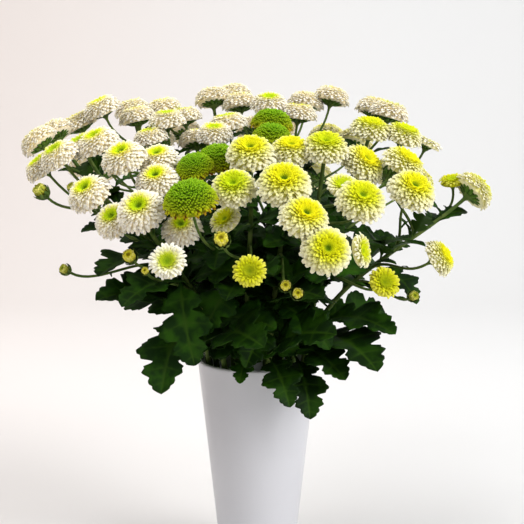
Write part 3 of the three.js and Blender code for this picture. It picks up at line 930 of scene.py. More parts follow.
@dataclass
class Head:
    """One bloom on its base point, with its axis along its direction.

    A petal has a row of points at each of the stations along it, with its half width and the
    depth of its cup there, and the rim row says how much of the painted highlight along the rim
    each side of it holds. A spread is how far a random draw goes. Lengths are in parts of the
    bloom's radius.
    """

    form: HeadForm
    base: np.ndarray
    faces: np.ndarray
    radius: float
    seed: int
    unripe: float = 0.0
    petal_slot: int = 0
    green_slot: int = 1

    STATIONS = (0.0, 0.36, 0.68, 0.89, 1.0)
    WIDTHS = (0.42, 0.78, 1.0, 0.84, 0.40)
    CUPS = (0.10, 0.26, 0.40, 0.44, 0.40)
    # How much painted highlight each side of a petal's rim holds: full at the edges, none along
    # the middle.
    RIM_HIGHLIGHT = (1.0, 0.9, 0.0, 0.9, 1.0, 0.0)
    THICKNESS = 0.020
    EDGE, MIDDLE, LIP = 0.4, 0.7, 0.97
    BEND = 0.55
    LEAN_SPREAD, REACH_SPREAD, WIDTH_SPREAD, ROLL_SPREAD = 5, 0.035, 0.06, 0.16
    TURN_SPREAD = 0.10
    TIER_STEP = 0.04
    FLORET_STATIONS = (0.0, 0.60, 0.88, 1.0)
    FLORET_SWELL = (0.80, 1.0, 1.10, 0.50)
    FLORET_LEAN_SPREAD = 0.05
    CUSHION_ROWS, CUSHION_SIDES = 13, 24
    # The cushion's tone and its share of root colour are painted shade, so gaps between petals
    # look like petals in shade.
    CUSHION_SHADE_TONE = 0.4
    EYE_DEPTH, PETAL_DEPTH = 0.6, 0.13
    SUNK = 0.16
    CUSHION_SHADE_ALONG = 0.45
    CORE_SIDES = 12
    BRACT_CUP, BRACT_TURN_SPREAD, BRACT_REACH_SPREAD = 0.6, 0.04, 0.03

    def build(self, draft: Draft) -> None:
        """Adds the bloom's shells to a mesh.

        Args:
            draft: The mesh.
        """
        rng = np.random.default_rng(self.seed)
        self._petals(draft, rng)
        self._florets(draft, rng)
        self._cushion(draft)
        self._core(draft)
        for number, whorl in enumerate(self.form.whorls):
            self._bracts(draft, rng, whorl, number * 0.5)

    def _placed(self, points: np.ndarray) -> np.ndarray:
        """Moves points from the bloom's own frame, in radii, to the model's."""
        return self.base + (points * self.radius) @ turned_to(self.faces).T

    def _blades(
        self,
        draft: Draft,
        turns: np.ndarray,
        roots: np.ndarray,
        tips: np.ndarray,
        heading: np.ndarray,
        widths: np.ndarray,
        rolls: np.ndarray,
        slot: int,
        cup: float = 1.0,
        **masks: np.ndarray | float,
    ) -> None:
        """Adds thin, cupped blades that leave roots and end at tips.

        Args:
            draft: The mesh.
            turns: Each blade's turn round the axis.
            roots: (distance, height) of each root.
            tips: (distance, height) of each tip.
            heading: The direction in which each tip points, as (outward, up).
            widths: Half the width of each.
            rolls: How far each is rolled about its own line.
            slot: The material's number.
            cup: How deep the blades are, against a petal.
            masks: Values for the masks.
        """
        along = np.array(self.STATIONS)[None, :, None]
        length = np.linalg.norm(tips - roots, axis=1)[:, None]
        control = tips - heading * length * self.BEND
        line = (
            (1 - along) ** 2 * roots[:, None]
            + 2 * along * (1 - along) * control[:, None]
            + along**2 * tips[:, None]
        )
        slope = unit(
            2 * (1 - along) * (control - roots)[:, None] + 2 * along * (tips - control)[:, None]
        )
        out = np.stack([np.cos(turns), np.sin(turns), np.zeros_like(turns)], axis=-1)[:, None]
        side = np.stack([-np.sin(turns), np.cos(turns), np.zeros_like(turns)], axis=-1)[:, None]
        centre = line[..., :1] * out + line[..., 1:] * UP
        tangent = slope[..., :1] * out + slope[..., 1:] * UP
        normal = np.cross(tangent, side)
        cosine, sine = np.cos(rolls)[:, None, None], np.sin(rolls)[:, None, None]
        side, normal = side * cosine + normal * sine, normal * cosine - side * sine
        width = widths[:, None] * np.array(self.WIDTHS)
        rise = width * np.array(self.CUPS) * cup
        edge, middle = self.EDGE * self.THICKNESS, self.MIDDLE * self.THICKNESS
        flat, lip = 0 * width, self.LIP * width
        across = np.stack([width, lip, flat, -lip, -width, flat], -1)
        above = np.stack(
            [rise - edge, rise + edge, flat + middle, rise + edge, rise - edge, flat - middle], -1
        )
        rings = (
            centre[:, :, None]
            + side[:, :, None] * across[..., None]
            + normal[:, :, None] * above[..., None]
        )
        draft.loft(self._placed(rings), slot, along=along, rim=np.array(self.RIM_HIGHLIGHT), **masks)

    def _petals(self, draft: Draft, rng: np.random.Generator) -> None:
        """Adds the petals, in golden-angle order from the middle out.

        Args:
            draft: The mesh.
            rng: The bloom's draws.
        """
        form = self.form
        count = form.petals
        share = (np.arange(count) + 0.5) / count
        tier = np.sqrt(form.inner**2 + (1 - form.inner**2) * share)
        spread = rng.uniform(-self.TURN_SPREAD, self.TURN_SPREAD, count)
        turns = np.arange(count) * GOLDEN_ANGLE + spread
        ahead, behind = form.edge(tier + self.TIER_STEP), form.edge(tier - self.TIER_STEP)
        slope = unit(np.stack([ahead[0] - behind[0], ahead[1] - behind[1]], -1) + 1e-6)
        normal = np.stack([-slope[:, 1], slope[:, 0]], -1)
        lean = blend(*form.leans, tier) + rng.normal(0, self.LEAN_SPREAD, count)
        lean = np.radians(lean)[:, None]
        heading = np.cos(lean) * slope + np.sin(lean) * normal
        (near, low), (far, last) = form.roots
        roots = np.stack([blend(near, far, tier), blend(low, last, tier)], -1)
        reach = 1 + rng.normal(0, self.REACH_SPREAD, count)
        tips = roots + (np.stack(form.edge(tier), -1) - roots) * reach[:, None]
        widths = blend(*form.widths, tier) * (1 + rng.normal(0, self.WIDTH_SPREAD, count))
        rolls = rng.normal(0, self.ROLL_SPREAD, count)
        self._blades(
            draft, turns, roots, tips, heading, widths, rolls, self.petal_slot,
            tier=tier[:, None, None], shade=rng.random(count)[:, None, None],
            unripe=self.unripe,
        )

    def _florets(self, draft: Draft, rng: np.random.Generator) -> None:
        """Adds the small florets of the eye, which stand close together.

        Args:
            draft: The mesh.
            rng: The bloom's draws.
        """
        form = self.form
        count = form.florets
        tier = form.inner * ((np.arange(count) + 0.5) / count) ** form.crowding
        turns = np.arange(count) * GOLDEN_ANGLE
        distance, height = form.edge(tier)
        out = np.stack([np.cos(turns), np.sin(turns), np.zeros(count)], -1)
        lean = blend(*form.floret_leans, tier / form.inner)[:, None]
        heading = unit(UP + out * lean + rng.normal(0, self.FLORET_LEAN_SPREAD, (count, 3)))
        height = height + rng.normal(0, form.roughness, count)
        tips = out * distance[:, None] + UP * height[:, None]
        along = np.array(self.FLORET_STATIONS)
        swell = np.array(self.FLORET_SWELL) * form.floret_width
        centre = tips[:, None] + heading[:, None] * (along[:, None] - 1) * form.floret_length
        side = unit(np.cross(heading, rng.normal(0, 1, (count, 3))))
        other = np.cross(heading, side)
        quarter = np.arange(4) * math.pi / 2
        spokes = (
            side[:, None, None] * np.cos(quarter)[:, None]
            + other[:, None, None] * np.sin(quarter)[:, None]
        )
        rings = centre[:, :, None] + spokes * swell[:, None, None]
        draft.loft(
            self._placed(rings), self.petal_slot, along=along[None, :, None],
            tier=tier[:, None, None], shade=rng.random(count)[:, None, None],
            unripe=self.unripe,
        )

    def _cushion(self, draft: Draft) -> None:
        """Adds the closed mass of petals just under the ones that show, coloured as petals in
        painted shade.

        Args:
            draft: The mesh.
        """
        tier = np.linspace(1.0, 0.04, self.CUSHION_ROWS)
        distance, height = self.form.edge(tier)
        eye = self.form.floret_length * self.EYE_DEPTH
        depth = blend(eye, self.PETAL_DEPTH, np.clip(tier / 0.5, 0, 1))
        out = np.maximum(distance - self.SUNK * tier, 0.02)
        rise = np.maximum(height - depth, self.form.roots[1][1])
        rings = spun(np.stack([out, rise], -1), self.CUSHION_SIDES)
        # Painted shade: the cushion takes a darker tone and part of the root colour.
        draft.loft(
            self._placed(rings)[None], self.petal_slot, along=self.CUSHION_SHADE_ALONG,
            tier=tier[None, :, None], shade=self.CUSHION_SHADE_TONE, unripe=self.unripe,
        )

    def _core(self, draft: Draft) -> None:
        """Adds the green base that the petals stand on.

        Args:
            draft: The mesh.
        """
        distance, height = self.form.edge(np.array([0.0, self.form.inner]))
        (near, low), (far, last) = self.form.roots
        profile = np.array(
            [
                (0.06, -0.02), (0.24, 0.0), (far * 0.98, last - 0.06), (far, last + 0.04),
                (blend(near, far, 0.5), blend(low, last, 0.5) + 0.06),
                (max(distance[1] * 0.7, 0.10), min(height) - 0.20), (0.04, height[0] - 0.16),
            ]
        )
        rings = spun(profile, self.CORE_SIDES)
        draft.loft(self._placed(rings)[None], self.green_slot, shade=0.5)

    def _bracts(
        self, draft: Draft, rng: np.random.Generator, whorl: Whorl, stagger: float
    ) -> None:
        """Adds one ring of green bracts under the bloom.

        Args:
            draft: The mesh.
            rng: The bloom's draws.
            whorl: The ring.
            stagger: How far it is turned, in parts of the gap between two bracts.
        """
        count = whorl.count
        turns = (np.arange(count) + stagger) * 2 * math.pi / count
        turns = turns + rng.normal(0, self.BRACT_TURN_SPREAD, count)
        reach = 1 + rng.normal(0, self.BRACT_REACH_SPREAD, (count, 1))
        lean = math.radians(whorl.lean)
        self._blades(
            draft,
            turns,
            np.tile(whorl.root, (count, 1)),
            np.tile(whorl.tip, (count, 1)) * reach,
            np.tile((math.cos(lean), math.sin(lean)), (count, 1)),
            np.full(count, whorl.width),
            np.zeros(count),
            self.green_slot,
            cup=self.BRACT_CUP,
            shade=rng.random(count)[:, None, None],
        )


CUP = (
    Whorl(11, (0.16, -0.03), (0.50, 0.06), 0.085, 25.0),
    Whorl(13, (0.22, -0.01), (0.66, 0.13), 0.085, 20.0),
)
BUTTON_PROFILE = (
    (0.00, 0.00, 0.66), (0.09, 0.08, 0.68), (0.17, 0.17, 0.79), (0.26, 0.27, 0.87),
    (0.36, 0.38, 0.905), (0.48, 0.52, 0.90), (0.62, 0.70, 0.81), (0.76, 0.86, 0.63),
    (0.88, 0.96, 0.40), (1.00, 1.00, 0.12), (1.10, 1.00, -0.08),
)
WHITE_FORM = HeadForm(
    petals=236, florets=110, middle=0.42, inner=0.33, profile=BUTTON_PROFILE,
    roots=((0.12, 0.46), (0.44, 0.14)), widths=(0.040, 0.092), leans=(62.0, 28.0), whorls=CUP,
)
YELLOW_FORM = HeadForm(
    petals=214, florets=120, middle=0.42, inner=0.33, profile=BUTTON_PROFILE,
    roots=((0.12, 0.46), (0.44, 0.14)), widths=(0.044, 0.104), leans=(64.0, 34.0), whorls=CUP,
)
LIME_FORM = HeadForm(
    petals=84, florets=560, middle=0.50, inner=0.87,
    profile=(
        (0.00, 0.00, 1.05), (0.20, 0.18, 1.06), (0.40, 0.42, 1.01), (0.55, 0.62, 0.92),
        (0.70, 0.81, 0.73), (0.82, 0.94, 0.51), (0.92, 1.00, 0.30), (1.00, 0.97, 0.10),
        (1.10, 0.92, -0.02),
    ),
    roots=((0.30, 0.40), (0.44, 0.16)), widths=(0.044, 0.066), leans=(62.0, 38.0), whorls=CUP,
    floret_width=0.037, floret_length=0.28, floret_leans=(0.0, 1.7), crowding=0.41,
    roughness=0.030,
)
OPEN_FORM = HeadForm(
    petals=88, florets=110, middle=0.36, inner=0.38,
    profile=(
        (0.00, 0.00, 0.44), (0.16, 0.14, 0.47), (0.32, 0.32, 0.56), (0.48, 0.50, 0.62),
        (0.70, 0.76, 0.60), (0.86, 0.93, 0.46), (1.00, 1.00, 0.30), (1.10, 1.02, 0.20),
    ),
    roots=((0.10, 0.28), (0.28, 0.12)), widths=(0.044, 0.096), leans=(62.0, 26.0),
    whorls=(
        Whorl(10, (0.14, -0.03), (0.34, 0.10), 0.080, 40.0),
        Whorl(12, (0.18, -0.01), (0.44, 0.20), 0.080, 38.0),
    ),
    floret_width=0.030,
)
BUD_FORM = HeadForm(
    petals=30, florets=26, middle=1.0, inner=0.34,
    profile=(
        (0.00, 0.00, 1.62), (0.34, 0.24, 1.72), (0.55, 0.44, 1.88), (0.80, 0.62, 1.84),
        (1.00, 0.76, 1.66), (1.10, 0.84, 1.52),
    ),
    roots=((0.34, 0.70), (0.62, 0.72)), widths=(0.13, 0.17), leans=(150.0, 128.0),
    whorls=(
        Whorl(9, (0.24, 0.06), (0.90, 0.86), 0.24, 82.0),
        Whorl(10, (0.26, 0.10), (0.97, 1.22), 0.22, 92.0),
    ),
    floret_width=0.055,
)
HEAD_FORMS = {"white": WHITE_FORM, "yellow": YELLOW_FORM, "lime": LIME_FORM}
# Narrower blooms are half open, and the narrowest yellow ones are lemon green all over.
SMALLEST_BUTTON = 31.5
SMALLEST_CREAM = 27.5
# How green the eyes of blooms are, from one bloom to the next.
UNRIPE = (0.0, 0.5, 0.15, 0.9, 0.05, 0.35, 0.7)
# Which sprays have green buds, and how green buds are there and elsewhere.
GREEN_BUDS = ("left", "right")
GREEN_BUD, RIPE_BUD = 0.9, 0.1


@dataclass(frozen=True)
class Bloom:
    """A bloom of the table, with what follows from its place."""

    bunch: str
    middle: np.ndarray
    faces: np.ndarray
    width: float
    form: HeadForm

    CALYX_GAP = 0.35
    CALYX_LENGTH = 6.0
    CALYX_SHARE = 0.27

    @classmethod
    def of(cls, spray: Spray, row: tuple) -> "Bloom":
        """Reads one bloom of a spray's table.

        Args:
            spray: The spray.
            row: The bloom's row.

        Returns:
            The bloom.
        """
        bunch, x, y, z, width, *turned = row
        middle = np.array([x, y, z], dtype=float)
        faces = np.array(turned[0]) if turned else middle - np.array(spray.source)
        form = OPEN_FORM if width < SMALLEST_BUTTON else HEAD_FORMS[bunch.split("_")[0]]
        return cls(bunch, middle, unit(faces), width, form)

    @property
    def young(self) -> bool:
        """Whether the bloom wears its bunch's younger colours."""
        white = self.bunch.startswith("white")
        return self.width < (SMALLEST_BUTTON if white else SMALLEST_CREAM)

    @property
    def base(self) -> np.ndarray:
        """The point under the bloom where its petals' base sits."""
        return self.middle - self.faces * self.form.middle * self.width / 2

    @property
    def neck(self) -> np.ndarray:
        """The point where the stem starts to swell under the bloom."""
        return self.base - self.faces * (self.CALYX_GAP + self.CALYX_LENGTH)


# ------------------------------------------------------------------------ leaves

# Half a leaf's outline: where a side vein leaves the midrib, and where the edge that it
# serves lies along the leaf and out from the midrib, in parts of the leaf's length.
LOBED_EDGE = (
    (0.00, 0.00, 0.014), (0.13, 0.13, 0.016), (0.20, 0.20, 0.030), (0.235, 0.255, 0.120),
    (0.25, 0.285, 0.150), (0.265, 0.295, 0.146), (0.285, 0.33, 0.196), (0.30, 0.35, 0.186),
    (0.32, 0.385, 0.222), (0.345, 0.415, 0.214), (0.36, 0.425, 0.180), (0.39, 0.455, 0.166),
    (0.42, 0.452, 0.108), (0.45, 0.468, 0.098), (0.475, 0.49, 0.150), (0.495, 0.535, 0.224),
    (0.51, 0.548, 0.216), (0.53, 0.585, 0.262), (0.548, 0.602, 0.248), (0.572, 0.650, 0.292),
    (0.595, 0.685, 0.272), (0.61, 0.690, 0.242), (0.635, 0.732, 0.228), (0.66, 0.736, 0.160),
    (0.69, 0.745, 0.112), (0.715, 0.765, 0.126), (0.74, 0.80, 0.182), (0.76, 0.815, 0.164),
    (0.785, 0.856, 0.186), (0.81, 0.872, 0.152), (0.84, 0.885, 0.110), (0.865, 0.91, 0.124),
    (0.89, 0.935, 0.112), (0.91, 0.945, 0.082), (0.94, 0.968, 0.080), (0.97, 0.986, 0.044),
    (1.00, 1.00, 0.006),
)
SMALL_EDGE = (
    (0.00, 0.00, 0.020), (0.14, 0.14, 0.026), (0.26, 0.28, 0.090), (0.34, 0.40, 0.150),
    (0.40, 0.45, 0.110), (0.50, 0.56, 0.170), (0.58, 0.66, 0.205), (0.66, 0.72, 0.130),
    (0.76, 0.81, 0.130), (0.86, 0.90, 0.100), (0.94, 0.96, 0.050), (1.00, 1.00, 0.008),
)
LOBE_VEINS = (0.32, 0.572, 0.785, 0.91)


@dataclass
class LeafBlade:
    """One lobed leaf from its root on a stem to its tip.

    Its points stand in rows across it. Heights are in parts of the leaf's length, waves are
    (height, turns along the leaf in radians), and the thickness is in millimetres.
    """

    root: np.ndarray
    tip: np.ndarray
    heart: np.ndarray
    edge: tuple = LOBED_EDGE
    columns: int = 6
    finer: int = 2

    ARCH = 0.3
    TURN = 1.2
    FOLD, CURL = 0.25, 0.7
    WAVES = ((0.055, 17), (0.030, 31))
    WAVE_SHIFT = 1.5
    PILLOW, GROOVE = 0.006, 0.002
    THICKNESS, THINNING = 0.55, 0.2
    KEPT = 6
    MIDRIB_WIDTH, VEIN_WIDTH = 0.06, 0.009
    VEIN_TONE, VEIN_FADE = 0.8, 0.7

    def build(self, draft: Draft, rng: np.random.Generator, slot: int) -> None:
        """Adds the leaf to a mesh.

        Args:
            draft: The mesh.
            rng: The draw for its waves and tone.
            slot: The leaf material's number.
        """
        chord = self.tip - self.root
        length = np.linalg.norm(chord)
        along = chord / length
        middle = (self.root + self.tip) / 2
        up = unit(middle - self.heart) * self.TURN + UP
        up = unit(up - along * up.dot(along))
        side = np.cross(along, up)
        crest = middle + up * self.ARCH * length
        vein, station, out = self._outline()
        across = np.linspace(-1, 1, 2 * self.columns + 1)
        spread = np.abs(across)
        place = vein[:, None] + (station - vein)[:, None] * spread
        reach = out[:, None] * across
        line, heading = self._midrib(place, crest)
        normal = np.cross(np.broadcast_to(side, heading.shape), heading)
        veins = self._veins(vein, spread)
        height = self._height(place, reach, spread, veins, rng.uniform(0, 2 * math.pi, 3))
        centre = line + side * (reach * length)[..., None] + normal * (height * length)[..., None]
        half = self.THICKNESS * (0.5 - self.THINNING * spread)[None, :, None]
        top, under = centre + normal * half, centre - normal * half
        rings = np.concatenate([top[:, ::-1], under], axis=1) * MM
        draft.loft(
            rings[None], slot,
            vein=np.concatenate([veins[:, ::-1], veins], axis=1)[None],
            under=np.repeat([0.0, 1.0], len(across))[None, None], shade=rng.random(),
        )

    def _height(
        self,
        place: np.ndarray,
        reach: np.ndarray,
        spread: np.ndarray,
        veins: np.ndarray,
        phases: np.ndarray,
    ) -> np.ndarray:
        """Gives how far points stand off the arched midrib's sheet.

        Args:
            place: Where the points lie along the leaf.
            reach: How far out from the midrib.
            spread: The same, in parts of the way to the edge.
            veins: How much of a vein they hold.
            phases: Where the waves start.

        Returns:
            The heights.
        """
        (long, slow), (short, quick) = self.WAVES
        far = np.abs(reach)
        height = self.FOLD * (far - self.CURL * far**2)
        shift = phases[0] + self.WAVE_SHIFT * np.sign(reach)
        height += long * far * np.sin(slow * place + shift)
        height += short * far * np.sin(quick * place + phases[1])
        return height + self.PILLOW * spread * (1 - veins) - self.GROOVE * veins

    def _outline(self) -> np.ndarray:
        """Puts more rows between the outline's given ones and rounds its corners.

        Returns:
            The veins' places, the edge's places and its distances from the midrib.
        """
        rows = np.array(self.edge)
        finer = np.linspace(0, len(rows) - 1, (len(rows) - 1) * self.finer + 1)
        smooth = np.array([np.interp(finer, np.arange(len(rows)), column) for column in rows.T])
        around = smooth[:, :-2] + smooth[:, 2:]
        smooth[:, 1:-1] = (self.KEPT * smooth[:, 1:-1] + around) / (self.KEPT + 2)
        return smooth

    def _midrib(self, place: np.ndarray, crest: np.ndarray) -> tuple[np.ndarray, np.ndarray]:
        """Follows the arched midrib.

        Args:
            place: Places along it.
            crest: The point that it bends towards.

        Returns:
            Its points and its directions there.
        """
        t = place[..., None]
        line = (1 - t) ** 2 * self.root + 2 * t * (1 - t) * crest + t**2 * self.tip
        heading = unit((1 - t) * (crest - self.root) + t * (self.tip - crest))
        return line, heading

    def _veins(self, vein: np.ndarray, spread: np.ndarray) -> np.ndarray:
        """Draws the midrib and one vein to each lobe.

        Args:
            vein: The rows' places on the midrib.
            spread: The columns' shares of the way to the edge.

        Returns:
            How much of a vein each point holds.
        """
        midrib = np.exp(-((spread / self.MIDRIB_WIDTH) ** 2))[None] * np.ones((len(vein), 1))
        sides = np.zeros((len(vein), len(spread)))
        for lobe in LOBE_VEINS:
            near = np.exp(-(((vein - lobe) / self.VEIN_WIDTH) ** 2))[:, None]
            sides = np.maximum(sides, near * (self.VEIN_TONE - self.VEIN_FADE * spread))
        return np.maximum(midrib, sides)


# ------------------------------------------------------------------------ stems


@dataclass(frozen=True)
class Filling:
    """A group of shorter leaves on every stem, which fill the bouquet's middle.

    Shares are places on the stem. A leaf points outwards from the bouquet's axis by no more
    than the outward share of its length, and rises by a draw from the lifts.
    """

    count: int
    shares: tuple[float, float]
    lengths: tuple[float, float]
    lifts: tuple[float, float]
    outward: float


LOW_FILLING = Filling(11, (0.04, 0.56), (64.0, 50.0), (0.0, 0.5), 0.1)
HIGH_FILLING = Filling(5, (0.60, 0.90), (58.0, 30.0), (0.0, 0.9), 0.5)


@dataclass
class Greenery:
    """A spray's stem, branches, leaves and buds, as one piece. Lengths are in millimetres."""

    spray: Spray
    blooms: list[Bloom]
    seed: int

    FOOT = 6.8
    MOUTH = 190.0
    RADII = (2.7, 2.4, 1.6)
    LOW_ROWS, STEM_ROWS, STEM_SIDES, STEM_RIDGE = 9, 42, 12, 0.05
    LOWEST, HIGHEST = 0.40, 0.82
    BRANCH_RADII = (1.35, 1.1)
    BRANCH_ROWS, BRANCH_SIDES, BRANCH_RIDGE = 18, 8, 0.04
    COLLAR, COLLAR_FADE = 0.5, 30
    CALYX_STEPS = (-0.5, 0.0, 0.35, 0.65, 0.88, 1.0, 1.04)
    CALYX_NECK = (0.98, 1.0)
    CALYX_SWELL = (1.25, 1.9, 3.1)
    CALYX_SEAT = (0.98, 0.80)
    AXIL_LENGTHS = (28, 44)
    BRACT_SHARES, BRACT_LENGTHS = (0.45, 0.75), (9, 15)
    BRACT_ASIDE, BRACT_WIDTH = 0.9, 0.55
    ROOT_SPREAD, LENGTH_SPREAD = 0.02, 0.15
    BUD_SEEDS = 50
    STEM, LEAF, BUD = 0, 1, 2

    def build(self, wardrobe: "Wardrobe") -> bpy.types.Object:
        """Makes the piece.

        Args:
            wardrobe: The finishes.

        Returns:
            The object, which stands for the spray's stem.
        """
        rng = np.random.default_rng(self.seed)
        draft = Draft("vein", "under", "shade", "tier", "along", "rim", "unripe")
        main = self._main(draft)
        ends: list[tuple | Bloom] = [*self.spray.buds, *self.blooms[:-1]]
        for number, end in enumerate(ends):
            share = number / (len(ends) - 1) if len(ends) > 1 else 0.5
            share = blend(self.LOWEST, self.HIGHEST, share)
            if isinstance(end, Bloom):
                path = self._branch(draft, main, share, end.neck, end.faces)
                self._calyx(draft, end, self.BRANCH_RADII[1])
            else:
                base, faces = self._bud(draft, end, self.seed * self.BUD_SEEDS + number)
                path = self._branch(draft, main, share, base, faces)
            self._axil_leaf(draft, main.at(share), path, rng)
            self._bract(draft, path, rng)
        for share, *tip in self.spray.leaves:
            self._leaf(draft, rng, main.at(share), np.array(tip, dtype=float))
        self._filling(draft, main, rng)
        name = f"stem_{self.spray.name}"
        piece = draft.made(f"{name}_leafy", wardrobe.stem, wardrobe.leaf, wardrobe.bud)
        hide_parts(name)
        return piece

    def _leaf(
        self,
        draft: Draft,
        rng: np.random.Generator,
        root: np.ndarray,
        tip: np.ndarray,
        *shape: object,
    ) -> None:
        """Adds a leaf from its root to its tip, lobed unless another shape is given."""
        LeafBlade(root, tip, np.array(self.spray.heart), *shape).build(draft, rng, self.LEAF)

    def _main(self, draft: Draft) -> Bezier:
        """Adds the main stem.

        Args:
            draft: The mesh.

        Returns:
            Its curve above the vase's mouth.
        """
        turn = math.radians(self.spray.azimuth)
        out = np.array([math.cos(turn), math.sin(turn), 0.0])
        foot_radius, mouth_radius = self.spray.ring.value
        foot = out * foot_radius + UP * self.FOOT
        mouth = out * mouth_radius + UP * self.MOUTH
        top = self.blooms[-1]
        curve = Bezier.rise(mouth, unit(mouth - foot), top.neck, top.faces)
        low = np.linspace(0, 1, self.LOW_ROWS)[:-1, None]
        shares = np.linspace(0, 1, self.STEM_ROWS)
        centres = np.concatenate([foot + (mouth - foot) * low, curve.at(shares)])
        radii = np.concatenate(
            [blend(self.RADII[0], self.RADII[1], low[:, 0]), blend(*self.RADII[1:], shares)]
        )
        draft.tube(
            centres * MM, radii * MM, self.STEM_SIDES, self.STEM_RIDGE, self.STEM, shade=0.5
        )
        self._calyx(draft, top, self.RADII[2])
        return curve

    def _branch(
        self, draft: Draft, main: Bezier, share: float, end: np.ndarray, faces: np.ndarray
    ) -> Bezier:
        """Adds a side branch, which is thicker where it leaves the stem.

        Args:
            draft: The mesh.
            main: The main stem's curve.
            share: Where the branch leaves it.
            end: Where the branch ends.
            faces: Its direction there.

        Returns:
            The branch's curve.
        """
        path = Bezier.rise(main.at(share), main.along(share), end, faces)
        shares = np.linspace(0, 1, self.BRANCH_ROWS)
        collar = 1 + self.COLLAR * np.exp(-shares * self.COLLAR_FADE)
        radii = blend(*self.BRANCH_RADII, shares) * collar
        draft.tube(
            path.at(shares) * MM, radii * MM, self.BRANCH_SIDES, self.BRANCH_RIDGE, self.STEM,
            shade=0.6,
        )
        return path

    def _calyx(self, draft: Draft, bloom: Bloom, radius: float) -> None:
        """Adds the swelling under a bloom.

        Args:
            draft: The mesh.
            bloom: The bloom.
            radius: The radius of the stem or branch that bears it.
        """
        seat = Bloom.CALYX_SHARE * bloom.width / 2
        swell = np.array(self.CALYX_SWELL) * radius / self.BRANCH_RADII[1]
        radii = np.concatenate(
            [
                np.array(self.CALYX_NECK) * radius,
                np.minimum(swell, seat),
                np.array(self.CALYX_SEAT) * seat,
            ]
        )
        steps = np.array(self.CALYX_STEPS)[:, None] * Bloom.CALYX_LENGTH
        centres = bloom.neck + bloom.faces * steps
        draft.tube(centres * MM, radii * MM, self.STEM_SIDES, 0.03, self.STEM, shade=0.7)

    def _bud(self, draft: Draft, row: tuple, seed: int) -> tuple[np.ndarray, np.ndarray]:
        """Adds a closed bud.

        Args:
            draft: The mesh.
            row: Its row of the table.
            seed: Where its draws start.

        Returns:
            Its base, where its branch ends, and its direction.
        """
        *centre, width = row
        faces = unit(np.array(centre, dtype=float) - np.array(self.spray.source))
        base = np.array(centre, dtype=float) - faces * width / 2
        unripe = GREEN_BUD if self.spray.name in GREEN_BUDS else RIPE_BUD
        slots = (self.BUD, self.STEM)
        Head(BUD_FORM, base * MM, faces, width / 2 * MM, seed, unripe, *slots).build(draft)
        return base, faces

    def _axil_leaf(
        self, draft: Draft, root: np.ndarray, path: Bezier, rng: np.random.Generator
    ) -> None:
        """Adds the small leaf that every branch grows in the corner of.

        Args:
            draft: The mesh.
            root: Where the branch leaves the stem.
            path: The branch's curve.
            rng: The spray's draws.
        """
        heading = unit((path.at(0.5) - root) * np.array([1.0, 1.0, 0.25]))
        aside = np.cross(heading, UP) * rng.uniform(-0.5, 0.5)
        direction = unit(heading + aside + UP * rng.uniform(-0.25, 0.25))
        tip = root + direction * rng.uniform(*self.AXIL_LENGTHS)
        self._leaf(draft, rng, root, tip, SMALL_EDGE, 3, 2)

    def _filling(self, draft: Draft, main: Bezier, rng: np.random.Generator) -> None:
        """Adds the shorter leaves: low ones that fill the middle, and small ones higher up.

        Args:
            draft: The mesh.
            main: The main stem's curve.
            rng: The spray's draws.
        """
        turn = rng.uniform(0, 2 * math.pi)
        for group in (LOW_FILLING, HIGH_FILLING):
            for share in np.linspace(*group.shares, group.count):
                turn += GOLDEN_ANGLE
                root = main.at(share + rng.uniform(-self.ROOT_SPREAD, self.ROOT_SPREAD))
                level = np.array([math.cos(turn), math.sin(turn), 0.0])
                out = unit(root * np.array([1.0, 1.0, 0.0]))
                level -= out * max(level.dot(out) - group.outward, 0.0) * 2
                direction = unit(level + UP * rng.uniform(*group.lifts))
                spread = rng.uniform(1 - self.LENGTH_SPREAD, 1 + self.LENGTH_SPREAD)
                length = blend(*group.lengths, share) * spread
                self._leaf(draft, rng, root, root + direction * length, LOBED_EDGE, 4, 1)

    def _bract(self, draft: Draft, path: Bezier, rng: np.random.Generator) -> None:
        """Adds a narrow bract part of the way up a branch.

        Args:
            draft: The mesh.
            path: The branch's curve.
            rng: The spray's draws.
        """
        share = rng.uniform(*self.BRACT_SHARES)
        root = path.at(share)
        turn = rng.uniform(0, 2 * math.pi)
        aside = np.array([math.cos(turn), math.sin(turn), 0.0])
        direction = unit(path.along(share) + aside * self.BRACT_ASIDE)
        tip = root + direction * rng.uniform(*self.BRACT_LENGTHS)
        narrow = tuple((vein, place, out * self.BRACT_WIDTH) for vein, place, out in SMALL_EDGE)
        self._leaf(draft, rng, root, tip, narrow, 2, 1)


# ------------------------------------------------------------------------ vase and water


